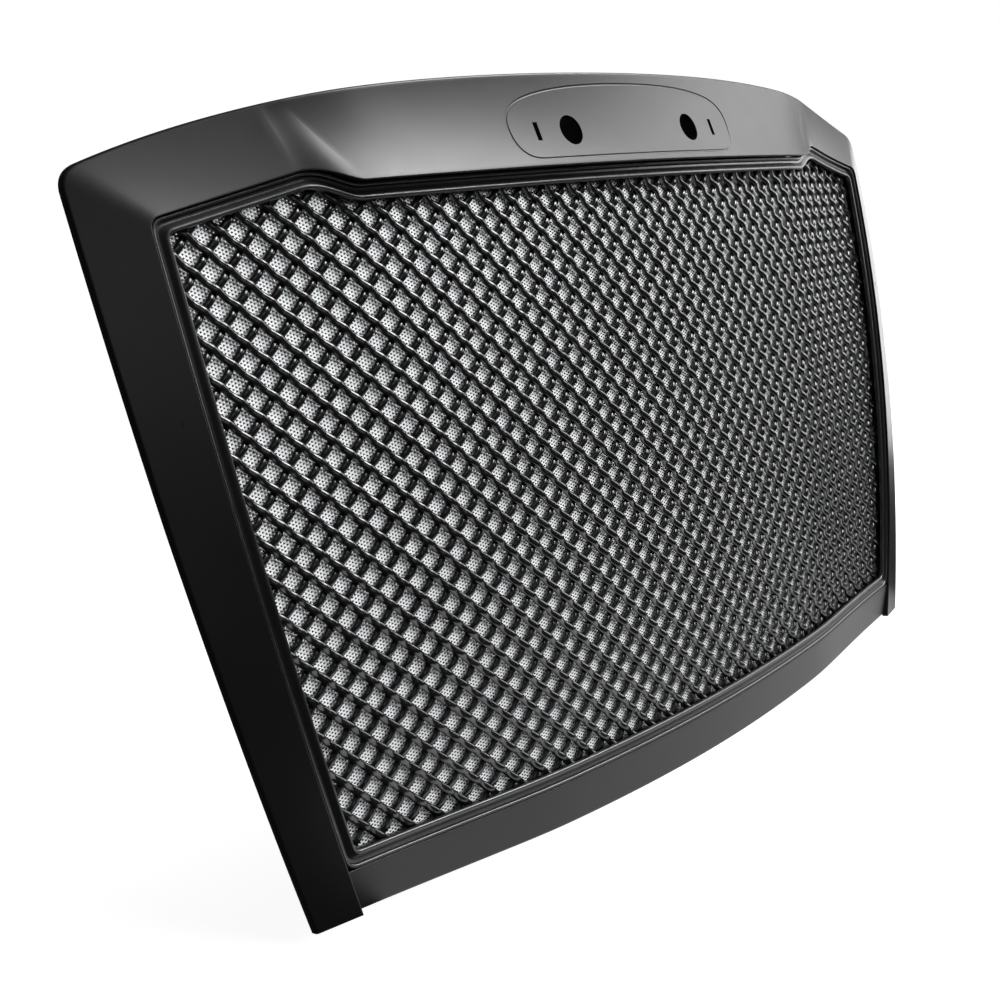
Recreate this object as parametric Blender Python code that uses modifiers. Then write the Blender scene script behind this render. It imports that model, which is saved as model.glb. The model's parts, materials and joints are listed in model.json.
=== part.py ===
"""Front grille guard of a highway truck: surround, lower rail, bezel, lattice and bug screen.

The grille faces -Y and is symmetric about X = 0. It is laid out from a datum, the middle of the
lattice face, and is moved at the end so that the origin is the centre of its overall box. Most
pieces follow the crowned face y = face_y(x, z). Around the opening a place is given by the distance
w inwards from the surround's edge and the depth d behind the crowned face.
"""
import math

import bmesh
import bpy
from mathutils import Matrix, Vector

# ---------------------------------------------------------------- driving dimensions, in metres
# the datum, seen from the centre of the overall box
DATUM = (0.0, -0.041366, 0.012)

# crowned face
CROWN_ACROSS = 0.242
CROWN_FLATTEN = 0.604
CROWN_UP = 0.114
CROWN_LEAN = 0.065
CROWN_SADDLE = 0.239
CREASE_X = 0.294
CREASE_LEAN = 0.161
CREASE_SLOPE = 0.128
CREASE_FADE = 0.137
CREASE_WIDTH = 0.013

# outline of the surround
HEADER_TOP = 0.330
HEADER_ARCH = 0.053
HEADER_DROP = 0.40
LEG_OUTER_X = 0.5515
LEG_TAPER = 0.115
LEG_BOW = 0.17
LEG_WIDTH = 0.046
LEG_WIDENING = 0.012
LEG_BOTTOM = -0.341
OUTER_CORNER = 0.016

# opening
OPENING_TOP = 0.243
SHOULDER_Z = 0.256
SHOULDER_X = 0.384
SHOULDER_SLOPE = 0.1985
STEP_START = 0.338
STEP_END = 0.392
OPENING_CORNER = 0.010
RAIL_TOP = -0.312
RAIL_TOP_ARCH = 0.053
RAIL_BOTTOM = -0.354
RAIL_BOTTOM_ARCH = 0.075

# shells
SHELL = 0.003
LIP_DRAFT = 0.0006
LEG_PROUD = 0.009
HEADER_PROUD = 0.016
INNER_LIP = 0.008
OUTER_LIP = 0.007
HEADER_SAG = 0.003
EDGE_PROUD = 0.002
EDGE_FLARE = 0.012
FLARE_START = 0.39
FLARE_REACH = 0.18
EDGE_FORWARD = 0.006
CREASE_TOP = 0.390
CREASE_TOP_WIDTH = 0.018
FOOT_INSET = 0.0008
RAIL_PROUD = 0.0065
RAIL_LIP = 0.009
RAIL_TILT = 0.003
FIT_GAP = 0.0006

# badge seat in the header
SEAT_HALF_WIDTH = 0.171
SEAT_TOP = 0.3185
SEAT_BOTTOM = 0.2500
SEAT_DEPTH = 0.0006
BADGE_HOLE_X = 0.093
BADGE_HOLE_Z = 0.2755
BADGE_HOLE_RADIUS = 0.0140
SLOT_X = 0.137
SLOT_HALF_WIDTH = 0.0028
SLOT_HALF_HEIGHT = 0.0085
SLEEVE_WALL = 0.0016
HOLE_SLEEVE_DEPTH = 0.022
SLOT_SLEEVE_DEPTH = 0.006
SLEEVE_FLAT_Z = 0.2607
SEAT_SHOULDER_X = 0.147
SEAT_SHOULDER_DROP = 0.013
SEAT_SIDE_DROP = 0.021
SEAT_CORNER = 0.032

# depths behind the crowned face
BEZEL_BACK = -0.0012
LATTICE_BACK = 0.009
RIM_FRONT = 0.0050
RIM_OUTER = -0.017
RIM_INNER = 0.012
SCREEN_FRONT = 0.0104
SCREEN_THICK = 0.0008
FRAME_FRONT = 0.0124
FRAME_BACK = 0.0144
SCREEN_EDGE = 0.0035
FRAME_INNER = 0.0150
RETAINER_FRONT = 0.0149
RETAINER_THICK = 0.0025

# bezel section as (w, d, corner radius): lip, channel, then bead
BEZEL_SECTION = [
    (FIT_GAP, BEZEL_BACK, 0.010), (FIT_GAP, -0.0060, 0.010), (0.0014, -0.0068, 0.010),
    (0.0024, -0.0062, 0.010), (0.0032, -0.0030, 0.009), (0.0088, -0.0030, 0.008),
    (0.0098, -0.0052, 0.008), (0.0116, -0.0064, 0.007), (0.0136, -0.0058, 0.006),
    (0.0146, -0.0040, 0.006), (0.0146, BEZEL_BACK, 0.006)]

# lattice: the bars of the working solid stand three cells apart
LATTICE_CELL = 0.02867
CELLS_PER_BAR = 3
BAR_WIDTH = 0.008
BAR_DEPTH = 0.0084
LATTICE_GRID = 20
LATTICE_CORNER = 0.006
LATTICE_EDGE = 0.0102
RIM_CORNER = 0.016
SCREEN_CORNER = 0.008
SCREEN_COLUMNS = 22
SCREEN_ROWS = 11
SCREEN_BLANK = (1.2, 0.72)

# fasteners
FRAME_SCREW_W = -0.011
RETAINER_W = -0.007
SCREW_RADIUS = 0.002
BOLT_RADIUS = 0.0025
BOLT_HEAD_RADIUS = 0.0046
BOLT_HEAD_HEIGHT = 0.0035
BOLT_LENGTH = 0.0095
SCREW_HEAD_RADIUS = 0.0042
SCREW_HEAD_HEIGHT = 0.0020
FRAME_SCREW_LENGTH = 0.0075
COLLAR_RADIUS = 0.0040
PIVOT_HEAD_RADIUS = 0.0045
PIVOT_THREAD = 0.004
BOSS_RADIUS = 0.005
BOSS_FRONT_LEG = -0.0035
BOSS_FRONT_HEADER = -0.0110
BOSS_FRONT_SHOULDER = -0.005
CLEARANCE = 0.0003

# turn buttons
BUTTON_HALF_LENGTH = 0.017
BUTTON_HALF_WAIST = 0.0055
BUTTON_HALF_END = 0.0068
BUTTON_WAIST_REACH = 0.006
BUTTON_CORNER = 0.003
RIDGE_START = 0.0065
RIDGE_END = 0.0150
RIDGE_HALF_WIDTH = 0.0012
RIDGE_HEIGHT = 0.003
RIDGE_ROOT = 0.0005

# brackets
BRACKET_SHEET = 0.0025
HEADER_PAD = (0.30, 0.292, 0.020, 0.013)
HEADER_PAD_REAR = 0.050
HEADER_BRACKET_REAR = 0.086
LEG_PAD_INSET = 0.0274
LEG_PAD_HALF = (0.0075, 0.014)
# each level of leg pad: name, height, rear plane of the pad and of its bracket
LEG_PAD_LEVELS = (("upper", 0.10, 0.0745, 0.092), ("lower", -0.225, 0.064, 0.086))
BOLT_SPACING = 0.016
BOLT_HOLE_DEPTH = 0.008
BRACKET_HOOK = 0.030
MOUNT_HOLE_RADIUS = 0.0045
MOUNT_HOLE_RISE = 0.004

PLASTIC_BLACK = ("moulded_black", (0.012, 0.012, 0.013), 0.42, 0.0)
BEZEL_BLACK = ("bezel_black", (0.014, 0.014, 0.015), 0.30, 0.0)
LATTICE_BLACK = ("lattice_black", (0.006, 0.006, 0.007), 0.18, 0.0)
SCREEN_WIRE = ("screen_wire", (0.62, 0.63, 0.64), 0.38, 1.0)
FRAME_STEEL = ("frame_steel", (0.05, 0.05, 0.055), 0.45, 0.6)
NYLON = ("nylon_black", (0.02, 0.02, 0.02), 0.55, 0.0)
ZINC = ("zinc_plated", (0.55, 0.56, 0.58), 0.32, 1.0)
BRACKET_STEEL = ("bracket_black", (0.025, 0.025, 0.027), 0.5, 0.3)


# ---------------------------------------------------------------- the crowned face
def softplus(distance, width):
    """A ramp that starts at zero distance, rounded over a width."""
    scaled = distance / width
    if scaled > 30:
        return distance
    return width * math.log1p(math.exp(scaled))


def face_y(x, z):
    """Depth of the crowned face: a cylinder-like bulge with a crease on each side."""
    across = abs(x)
    crown = CROWN_ACROSS * x ** 2 - CROWN_FLATTEN * x ** 4 + CROWN_UP * z ** 2
    twist = CROWN_LEAN * x ** 2 * z + CROWN_SADDLE * x ** 2 * z ** 2
    past_crease = across - (CREASE_X + CREASE_LEAN * z)
    crease = (CREASE_SLOPE + CREASE_FADE * z) * softplus(past_crease, CREASE_WIDTH)
    return crown + twist + crease


def face_normal(x, z):
    """Unit vector out of the back of the crowned face."""
    step = 0.004
    slope_x = (face_y(x + step, z) - face_y(x - step, z)) / (2 * step)
    slope_z = (face_y(x, z + step) - face_y(x, z - step)) / (2 * step)
    return Vector((-slope_x, 1.0, -slope_z)).normalized()


# ---------------------------------------------------------------- outlines, right half
def header_top(x):
    return HEADER_TOP - HEADER_ARCH * x ** 2 - HEADER_DROP * x ** 4


def leg_outer(z):
    return LEG_OUTER_X + LEG_TAPER * z - LEG_BOW * z ** 2


def leg_inner(z):
    return leg_outer(z) - LEG_WIDTH - LEG_WIDENING * z


def opening_top(x):
    shoulder = SHOULDER_Z - SHOULDER_SLOPE * (x - SHOULDER_X)
    t = min(max((x - STEP_START) / (STEP_END - STEP_START), 0.0), 1.0)
    blend = t * t * (3 - 2 * t)
    return OPENING_TOP + blend * (shoulder - OPENING_TOP)


def rail_top(x):
    return RAIL_TOP + RAIL_TOP_ARCH * x ** 2


def rail_bottom(x):
    return RAIL_BOTTOM + RAIL_BOTTOM_ARCH * x ** 2


def spread(start, end, count):
    """Count values from start towards end, leaving the end out."""
    return [start + (end - start) * i / count for i in range(count)]


def rounded_corner(before, corner, after, count):
    """Points on a quadratic arc that rounds a corner, both ends included."""
    points = []
    for i in range(count + 1):
        t = i / count
        x = (1 - t) ** 2 * before[0] + 2 * t * (1 - t) * corner[0] + t ** 2 * after[0]
        z = (1 - t) ** 2 * before[1] + 2 * t * (1 - t) * corner[1] + t ** 2 * after[1]
        points.append((x, z))
    return points


def meet(edge_z, edge_x, x):
    """Where a curve z = edge_z(x) meets a curve x = edge_x(z)."""
    z = edge_z(x)
    for _ in range(20):
        x = edge_x(z)
        z = edge_z(x)
    return x, z


CENTRE_STEPS = 5
NOTCH_STEPS = 6
SHOULDER_STEPS = 3
CORNER_STEPS = 4
SIDE_STEPS = 7
BOTTOM_STEPS = 9


def top_edge(edge_z, x_corner):
    """Stations of a top edge from the middle out to a corner."""
    stations = spread(0.0, STEP_START, CENTRE_STEPS)
    stations += spread(STEP_START, STEP_END, NOTCH_STEPS)
    stations += spread(STEP_END, x_corner, SHOULDER_STEPS)
    return [(x, edge_z(x)) for x in stations]


def opening_half(w, corner=OPENING_CORNER):
    """Right half of the opening's outline, moved inwards by w, from top middle to bottom middle."""
    top = lambda x: opening_top(x) - w
    side = lambda z: leg_inner(z) - w
    bottom = lambda x: rail_top(x) + w
    x_top, z_top = meet(top, side, 0.5)
    x_low, z_low = meet(bottom, side, 0.45)
    x_in, x_out = x_top - corner, x_low - corner
    z_high, z_foot = z_top - corner, z_low + corner
    points = top_edge(top, x_in)
    points += rounded_corner((x_in, top(x_in)), (x_top, z_top), (side(z_high), z_high), CORNER_STEPS)
    points += [(side(z), z) for z in spread(z_high, z_foot, SIDE_STEPS)][1:]
    points += rounded_corner((side(z_foot), z_foot), (x_low, z_low), (x_out, bottom(x_out)), CORNER_STEPS)
    points += [(x, bottom(x)) for x in spread(x_out, 0.0, BOTTOM_STEPS)][1:]
    points.append((0.0, bottom(0.0)))
    return points


def opening_loop(w, corner=OPENING_CORNER):
    """The whole outline as a closed loop, clockwise from the top middle as seen from the front."""
    right = opening_half(w, corner)
    left = [(-x, z) for x, z in reversed(right[1:-1])]
    return right + left


# ---------------------------------------------------------------- scene helpers
def clear_scene():
    for obj in list(bpy.data.objects):
        bpy.data.objects.remove(obj, do_unlink=True)


def new_collection(name):
    collection = bpy.data.collections.new(name)
    bpy.context.scene.collection.children.link(collection)
    return collection


clear_scene()
PARTS = new_collection("front_grille_guard")
CUTTERS = new_collection("cutters")
MATERIALS = {}


def material_for(spec):
    name, colour, roughness, metallic = spec
    if name not in MATERIALS:
        material = bpy.data.materials.new(name)
        material.use_nodes = True
        shader = material.node_tree.nodes["Principled BSDF"]
        shader.inputs["Base Color"].default_value = (*colour, 1.0)
        shader.inputs["Roughness"].default_value = roughness
        shader.inputs["Metallic"].default_value = metallic
        MATERIALS[name] = material
    return MATERIALS[name]


def object_from_bmesh(name, bm, spec=None):
    """An object that takes a bmesh; without a material it is a hidden cutter."""
    mesh = bpy.data.meshes.new(name)
    bm.to_mesh(mesh)
    bm.free()
    obj = bpy.data.objects.new(name, mesh)
    if spec is None:
        CUTTERS.objects.link(obj)
        obj.hide_render = True
        obj.display_type = "WIRE"
    else:
        PARTS.objects.link(obj)
        mesh.materials.append(material_for(spec))
    return obj


def smooth(obj, angle=35):
    obj.data.shade_smooth()
    obj.data.set_sharp_from_angle(angle=math.radians(angle))


def apply_modifiers(obj):
    """Turn an object's modifiers into its mesh."""
    graph = bpy.context.evaluated_depsgraph_get()
    finished = bpy.data.meshes.new_from_object(obj.evaluated_get(graph))
    obj.modifiers.clear()
    obj.data = finished


def boolean(obj, cutter, operation):
    modifier = obj.modifiers.new(operation.lower(), "BOOLEAN")
    modifier.operation = operation
    modifier.object = cutter


def flat_slab(name, outline, y_front, y_back, spec=None):
    """A closed slab between two depths, from an outline in the XZ plane."""
    curve = bpy.data.curves.new(name, "CURVE")
    curve.dimensions = "2D"
    curve.fill_mode = "BOTH"
    curve.extrude = (y_back - y_front) / 2
    spline = curve.splines.new("POLY")
    spline.points.add(len(outline) - 1)
    for point, (x, z) in zip(spline.points, outline):
        point.co = (x, z, 0.0, 1.0)
    spline.use_cyclic_u = True
    drawn = bpy.data.objects.new(name + "_outline", curve)
    CUTTERS.objects.link(drawn)
    graph = bpy.context.evaluated_depsgraph_get()
    mesh = bpy.data.meshes.new_from_object(drawn.evaluated_get(graph))
    bm = bmesh.new()
    bm.from_mesh(mesh)
    bmesh.ops.remove_doubles(bm, verts=bm.verts, dist=0.00002)
    middle = Matrix.Translation((0.0, (y_front + y_back) / 2, 0.0))
    upright = middle @ Matrix.Rotation(math.pi / 2, 4, "X")
    bmesh.ops.transform(bm, matrix=upright, verts=bm.verts)
    bmesh.ops.recalc_face_normals(bm, faces=bm.faces)
    bpy.data.objects.remove(drawn, do_unlink=True)
    bpy.data.meshes.remove(mesh)
    return object_from_bmesh(name, bm, spec)


def turned_slab(name, outline, low, high, place, spec=None):
    """A slab whose outline (a, b) and thickness c are put in space by place(a, b, c)."""
    slab = flat_slab(name, outline, low, high, spec)
    bm = bmesh.new()
    bm.from_mesh(slab.data)
    for vertex in bm.verts:
        vertex.co = place(vertex.co.x, vertex.co.z, vertex.co.y)
    bmesh.ops.recalc_face_normals(bm, faces=bm.faces)
    bm.to_mesh(slab.data)
    bm.free()
    return slab


def cylinder(name, radius, bottom, top, sides=16, spec=None):
    """A cylinder along local Z between two heights."""
    bm = bmesh.new()
    placed = Matrix.Translation((0.0, 0.0, (bottom + top) / 2))
    bmesh.ops.create_cone(bm, cap_ends=True, segments=sides, radius1=radius, radius2=radius,
                          depth=top - bottom, matrix=placed)
    return object_from_bmesh(name, bm, spec)


def box(name, low, high, spec=None):
    bm = bmesh.new()
    bmesh.ops.create_cube(bm, size=1.0)
    low, high = Vector(low), Vector(high)
    size = high - low
    bmesh.ops.scale(bm, vec=size, verts=bm.verts)
    bmesh.ops.translate(bm, vec=(low + high) / 2, verts=bm.verts)
    return object_from_bmesh(name, bm, spec)


def turned(name, profile, sides, spec):
    """A solid turned about local Z; the profile runs from the axis at the top to the axis below."""
    bm = bmesh.new()
    verts = [bm.verts.new((radius, 0.0, height)) for radius, height in profile]
    for first, second in zip(verts, verts[1:]):
        bm.edges.new((first, second))
    obj = object_from_bmesh(name, bm, spec)
    screw = obj.modifiers.new("turn", "SCREW")
    screw.steps = sides
    screw.render_steps = sides
    screw.use_merge_vertices = True
    screw.merge_threshold = 0.00001
    apply_modifiers(obj)
    smooth(obj)
    return obj


def grid_surface(name, rows, spec):
    """An open surface through rows of points."""
    bm = bmesh.new()
    lattice = [[bm.verts.new(point) for point in row] for row in rows]
    for row, following in zip(lattice, lattice[1:]):
        for i in range(len(row) - 1):
            bm.faces.new((following[i], following[i + 1], row[i + 1], row[i]))
    return object_from_bmesh(name, bm, spec)


def ring_loft(name, loops, spec):
    """A closed ring: each loop is one corner of the section, carried all the way round."""
    bm = bmesh.new()
    rings = [[bm.verts.new(point) for point in loop] for loop in loops]
    count = len(loops[0])
    for ring, following in zip(rings, rings[1:] + rings[:1]):
        for i in range(count):
            j = (i + 1) % count
            bm.faces.new((ring[i], ring[j], following[j], following[i]))
    bmesh.ops.recalc_face_normals(bm, faces=bm.faces)
    return object_from_bmesh(name, bm, spec)


def ring_section(section):
    """Loops of points for a section given as (w, d, corner) places around the opening."""
    loops = []
    for w, d, corner in section:
        loops.append([(x, face_y(x, z) + d, z) for x, z in opening_loop(w, corner)])
    return loops


def triangulate(obj):
    """Split a piece's faces into plane triangles."""
    bm = bmesh.new()
    bm.from_mesh(obj.data)
    bmesh.ops.triangulate(bm, faces=bm.faces)
    bm.to_mesh(obj.data)
    bm.free()


def drape(obj):
    """Bend a flat piece over the crowned face."""
    for vertex in obj.data.vertices:
        vertex.co.y += face_y(vertex.co.x, vertex.co.z)


def mirror_and_shell(obj, thickness):
    mirror = obj.modifiers.new("mirror", "MIRROR")
    mirror.use_axis = (True, False, False)
    mirror.use_clip = True
    mirror.merge_threshold = 0.0001
    shell = obj.modifiers.new("shell", "SOLIDIFY")
    shell.thickness = thickness
    shell.offset = -1.0
    shell.use_even_offset = True


# ---------------------------------------------------------------- places around the opening
def edge_place(side, at, w):
    """A place (x, z) and the inward direction, for an edge, a coordinate along it and w."""
    if side == "top":
        return (at, opening_top(abs(at)) - w), (0.0, -1.0)
    if side == "bottom":
        return (at, rail_top(at) + w), (0.0, 1.0)
    sign = 1.0 if side == "right" else -1.0
    return (sign * (leg_inner(at) - w), at), (-sign, 0.0)


def back_frame(x, z, d, inward):
    """A frame on the crowned face: local Z out of the back, local X along the inward way."""
    normal = face_normal(x, z)
    way = Vector((inward[0], 0.0, inward[1]))
    way = (way - normal * way.dot(normal)).normalized()
    across = normal.cross(way)
    frame = Matrix((way, across, normal)).transposed().to_4x4()
    frame.translation = Vector((x, face_y(x, z), z)) + normal * d
    return frame


FRAME_SCREWS = [("top", -0.43), ("top", -0.17), ("top", 0.17), ("top", 0.43), ("left", 0.08),
                ("left", -0.17), ("right", 0.08), ("right", -0.17), ("bottom", -0.19), ("bottom", 0.19)]
RETAINERS = [("top", -0.26), ("top", 0.26), ("left", 0.16), ("left", -0.06), ("right", 0.16),
             ("right", -0.06), ("bottom", -0.28), ("bottom", 0.28)]


# ---------------------------------------------------------------- surround
def face_proud(x):
    """How far the surround's inner edge stands in front of the crowned face."""
    t = min(max((abs(x) - STEP_START) / (STEP_END - STEP_START), 0.0), 1.0)
    blend = t * t * (3 - 2 * t)
    return HEADER_PROUD + (LEG_PROUD - HEADER_PROUD) * blend


def outer_edge_y(x, z):
    """Depth of the surround's outer edge."""
    flare = max(abs(x) - FLARE_START, 0.0) / FLARE_REACH
    lower = max(-z, 0.0) / abs(LEG_BOTTOM)
    return face_y(x, z) - EDGE_PROUD + EDGE_FLARE * min(flare, 1.0) - EDGE_FORWARD * lower


def surround_stations():
    """Matching points of the inner and outer edge, from the foot of the right leg to top middle."""
    x_in, z_in = meet(opening_top, leg_inner, 0.5)
    x_out, z_out = meet(header_top, leg_outer, 0.57)
    inner_leg = [(leg_inner(z), z) for z in spread(LEG_BOTTOM, z_in - OPENING_CORNER, SIDE_STEPS)]
    outer_leg = [(leg_outer(z), z) for z in spread(LEG_BOTTOM, z_out - OUTER_CORNER, SIDE_STEPS)]
    inner = inner_leg + rounded_corner(
        (leg_inner(z_in - OPENING_CORNER), z_in - OPENING_CORNER), (x_in, z_in),
        (x_in - OPENING_CORNER, opening_top(x_in - OPENING_CORNER)), CORNER_STEPS)
    outer = outer_leg + rounded_corner(
        (leg_outer(z_out - OUTER_CORNER), z_out - OUTER_CORNER), (x_out, z_out),
        (x_out - OUTER_CORNER, header_top(x_out - OUTER_CORNER)), CORNER_STEPS)
    inner_top = top_edge(opening_top, x_in - OPENING_CORNER)
    past_crease = CREASE_TOP + CREASE_TOP_WIDTH
    outer_stations = spread(0.0, CREASE_TOP, CENTRE_STEPS)
    outer_stations += spread(CREASE_TOP, past_crease, NOTCH_STEPS)
    outer_stations += spread(past_crease, x_out - OUTER_CORNER, SHOULDER_STEPS)
    outer_top = [(x, header_top(x)) for x in outer_stations]
    return inner + inner_top[::-1], outer + outer_top[::-1]


def surround_section(inner, outer):
    """One section across the surround, from the inner lip to the outer lip."""
    inner_y = face_y(*inner) - face_proud(inner[0])
    outer_y = outer_edge_y(*outer)
    a, b = Vector((inner[0], inner_y, inner[1])), Vector((outer[0], outer_y, outer[1]))
    out = Vector((b.x - a.x, 0.0, b.z - a.z)).normalized()
    back = Vector((0.0, 1.0, 0.0))
    in_header = 1.0 - min(max((inner[0] - STEP_START) / (STEP_END - STEP_START), 0.0), 1.0)
    points = [a + out * LIP_DRAFT + back * INNER_LIP]
    for t in (0.0, 0.25, 0.5, 0.75, 1.0):
        sag = HEADER_SAG * in_header * 4 * t * (1 - t)
        points.append(a.lerp(b, t) + back * sag)
    points.append(b - out * LIP_DRAFT + back * OUTER_LIP)
    return points


def surround_face_y(x, z):
    """Depth of the header's front at a place between its two edges."""
    low, high = opening_top(abs(x)), header_top(x)
    t = (z - low) / (high - low)
    low_y = face_y(x, low) - face_proud(x)
    high_y = outer_edge_y(x, high)
    return low_y + (high_y - low_y) * t + HEADER_SAG * 4 * t * (1 - t)


def badge_seat_outline():
    """The seat's outline: an arched top, a flat bottom and round ends."""
    half, top, bottom = SEAT_HALF_WIDTH, SEAT_TOP, SEAT_BOTTOM
    middle = bottom + 0.45 * (top - bottom)
    shoulder = (SEAT_SHOULDER_X, top - SEAT_SHOULDER_DROP)
    right = rounded_corner((0.0, top), (0.62 * half, top), shoulder, 4)
    right += rounded_corner(shoulder, (half, top - SEAT_SIDE_DROP), (half, middle), 3)[1:]
    right += rounded_corner((half, middle), (half, bottom), (half - SEAT_CORNER, bottom), 4)[1:]
    left = [(-x, z) for x, z in reversed(right[1:])]
    return right + left


def badge_seat_cutter():
    """A block whose back follows the header at the seat's depth."""
    cutter = flat_slab("badge_seat_cutter", badge_seat_outline(), -0.020, 0.0)
    bm = bmesh.new()
    bm.from_mesh(cutter.data)
    cuts = [((third * SEAT_HALF_WIDTH / 3, 0, 0), (1, 0, 0)) for third in (-2, -1, 0, 1, 2)]
    cuts.append(((0, 0, (SEAT_TOP + SEAT_BOTTOM) / 2), (0, 0, 1)))
    for place, normal in cuts:
        everything = bm.verts[:] + bm.edges[:] + bm.faces[:]
        bmesh.ops.bisect_plane(bm, geom=everything, plane_co=place, plane_no=normal)
    for vertex in bm.verts:
        if vertex.co.y > -0.001:
            vertex.co.y = surround_face_y(vertex.co.x, vertex.co.z) + SEAT_DEPTH
    bm.to_mesh(cutter.data)
    bm.free()
    return cutter


def bracket_pads():
    """Pads behind the surround: name, middle, half sizes, its rear plane and its bracket's."""
    pads = []
    for side, sign in (("left", -1.0), ("right", 1.0)):
        pad_x, pad_z, half_x, half_z = HEADER_PAD
        pads.append(("header_" + side, (sign * pad_x, pad_z), (half_x, half_z),
                     HEADER_PAD_REAR, HEADER_BRACKET_REAR))
        for level, z, rear, sheet_rear in LEG_PAD_LEVELS:
            x = sign * (leg_inner(z) + LEG_PAD_INSET)
            pads.append(("leg_" + level + "_" + side, (x, z), LEG_PAD_HALF, rear, sheet_rear))
    return pads


def pad_front_y(x, z):
    """A depth inside the surround's shell at a pad."""
    if abs(x) < STEP_START:
        return surround_face_y(x, z) + 0.6 * SHELL
    inner_x, outer_x = leg_inner(z), leg_outer(z)
    t = (abs(x) - inner_x) / (outer_x - inner_x)
    inner_y = face_y(inner_x, z) - LEG_PROUD
    return inner_y + (outer_edge_y(outer_x, z) - inner_y) * t + 0.6 * SHELL


def boss(name, side, at, front):
    """A round boss on the back, at a frame screw, standing up to the lattice rim."""
    (x, z), inward = edge_place(side, at, FRAME_SCREW_W)
    frame = back_frame(x, z, 0.0, inward)
    post = cylinder(name, BOSS_RADIUS, front, RIM_FRONT - CLEARANCE, sides=8)
    post.data.transform(frame)
    hole = cylinder(name + "_hole", SCREW_RADIUS + CLEARANCE, front + 0.002, RIM_FRONT + 0.01, sides=8)
    hole.data.transform(frame)
    return post, hole


def lean_front(sleeve, x, z):
    """Turns the front end of a sleeve parallel to the header, inside its shell."""
    step = 0.004
    slope_x = (pad_front_y(x + step, z) - pad_front_y(x - step, z)) / (2 * step)
    slope_z = (pad_front_y(x, z + step) - pad_front_y(x, z - step)) / (2 * step)
    for vertex in sleeve.data.vertices:
        if vertex.co.y < 0.0:
            vertex.co.y = pad_front_y(x, z) + slope_x * (vertex.co.x - x) + slope_z * (vertex.co.z - z)


def badge_sleeves(sign):
    """The collars behind a badge hole and its key slot; the round one has a flat above the rim."""
    radius = BADGE_HOLE_RADIUS + SLEEVE_WALL
    x, z = sign * BADGE_HOLE_X, BADGE_HOLE_Z
    rear = pad_front_y(x, z) + HOLE_SLEEVE_DEPTH
    round_sleeve = cylinder("badge_hole_sleeve", radius, -rear, rear, sides=24)
    round_sleeve.data.transform(Matrix.Translation((x, 0, z)) @ Matrix.Rotation(-math.pi / 2, 4, "X"))
    for vertex in round_sleeve.data.vertices:
        vertex.co.z = max(vertex.co.z, SLEEVE_FLAT_Z)
    lean_front(round_sleeve, x, z)
    x = sign * SLOT_X
    half_x, half_z = SLOT_HALF_WIDTH + SLEEVE_WALL, SLOT_HALF_HEIGHT + SLEEVE_WALL
    rear = pad_front_y(x, z) + SLOT_SLEEVE_DEPTH
    slot_sleeve = box("slot_sleeve", (x - half_x, rear - 0.1, z - half_z), (x + half_x, rear, z + half_z))
    middle = rear - SLOT_SLEEVE_DEPTH / 2
    for vertex in slot_sleeve.data.vertices:
        if vertex.co.y < middle:
            vertex.co.y = pad_front_y(vertex.co.x, vertex.co.z)
    return round_sleeve, slot_sleeve


def foot_plate(inner, outer, sign):
    """A plate that closes the lower end of a leg, inside its shell."""
    front = [(inner[0] + FOOT_INSET, face_y(*inner) - LEG_PROUD + FOOT_INSET),
             (outer[0] - FOOT_INSET, outer_edge_y(*outer) + FOOT_INSET)]
    depth = OUTER_LIP - 2 * FOOT_INSET
    profile = front + [(x, y + depth) for x, y in reversed(front)]
    low = LEG_BOTTOM + FOOT_INSET
    return turned_slab("foot_plate", profile, low, low + SHELL,
                       lambda across, back, up: (sign * across, back, up))


def build_surround():
    inner, outer = surround_stations()
    rows = [surround_section(a, b) for a, b in zip(inner, outer)]
    rows[-1] = [Vector((0.0, point.y, point.z)) for point in rows[-1]]
    surround = grid_surface("outer_surround", rows[::-1], PLASTIC_BLACK)
    mirror_and_shell(surround, SHELL)
    apply_modifiers(surround)
    triangulate(surround)
    for sign in (-1, 1):
        boolean(surround, foot_plate(inner[0], outer[0], sign), "UNION")
    cutters = []
    for name, (x, z), (half_x, half_z), rear, _ in bracket_pads():
        pad = box("pad_" + name, (x - half_x, 0.0, z - half_z), (x + half_x, rear, z + half_z))
        for vertex in pad.data.vertices:
            if vertex.co.y < rear / 2:
                vertex.co.y = pad_front_y(vertex.co.x, vertex.co.z)
        boolean(surround, pad, "UNION")
        cutters += bolt_holes(name, rear)
    for side, at in FRAME_SCREWS:
        if side != "bottom":
            front = BOSS_FRONT_LEG if side != "top" else BOSS_FRONT_HEADER
            if side == "top" and abs(at) > STEP_END:
                front = BOSS_FRONT_SHOULDER
            post, hole = boss("boss_%s_%d" % (side, round(at * 1000)), side, at, front)
            boolean(surround, post, "UNION")
            cutters.append(hole)
    cutters.append(badge_seat_cutter())
    for sign in (-1, 1):
        for sleeve in badge_sleeves(sign):
            boolean(surround, sleeve, "UNION")
        hole = cylinder("badge_hole_cutter", BADGE_HOLE_RADIUS, -0.05, 0.05, sides=24)
        hole.matrix_world = Matrix.Translation((sign * BADGE_HOLE_X, 0, BADGE_HOLE_Z)) \
            @ Matrix.Rotation(math.pi / 2, 4, "X")
        cutters.append(hole)
        middle = sign * SLOT_X
        low, high = BADGE_HOLE_Z - SLOT_HALF_HEIGHT, BADGE_HOLE_Z + SLOT_HALF_HEIGHT
        cutters.append(box("slot_cutter", (middle - SLOT_HALF_WIDTH, -0.05, low),
                           (middle + SLOT_HALF_WIDTH, 0.05, high)))
    for cutter in cutters:
        boolean(surround, cutter, "DIFFERENCE")
    apply_modifiers(surround)
    smooth(surround)


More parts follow.
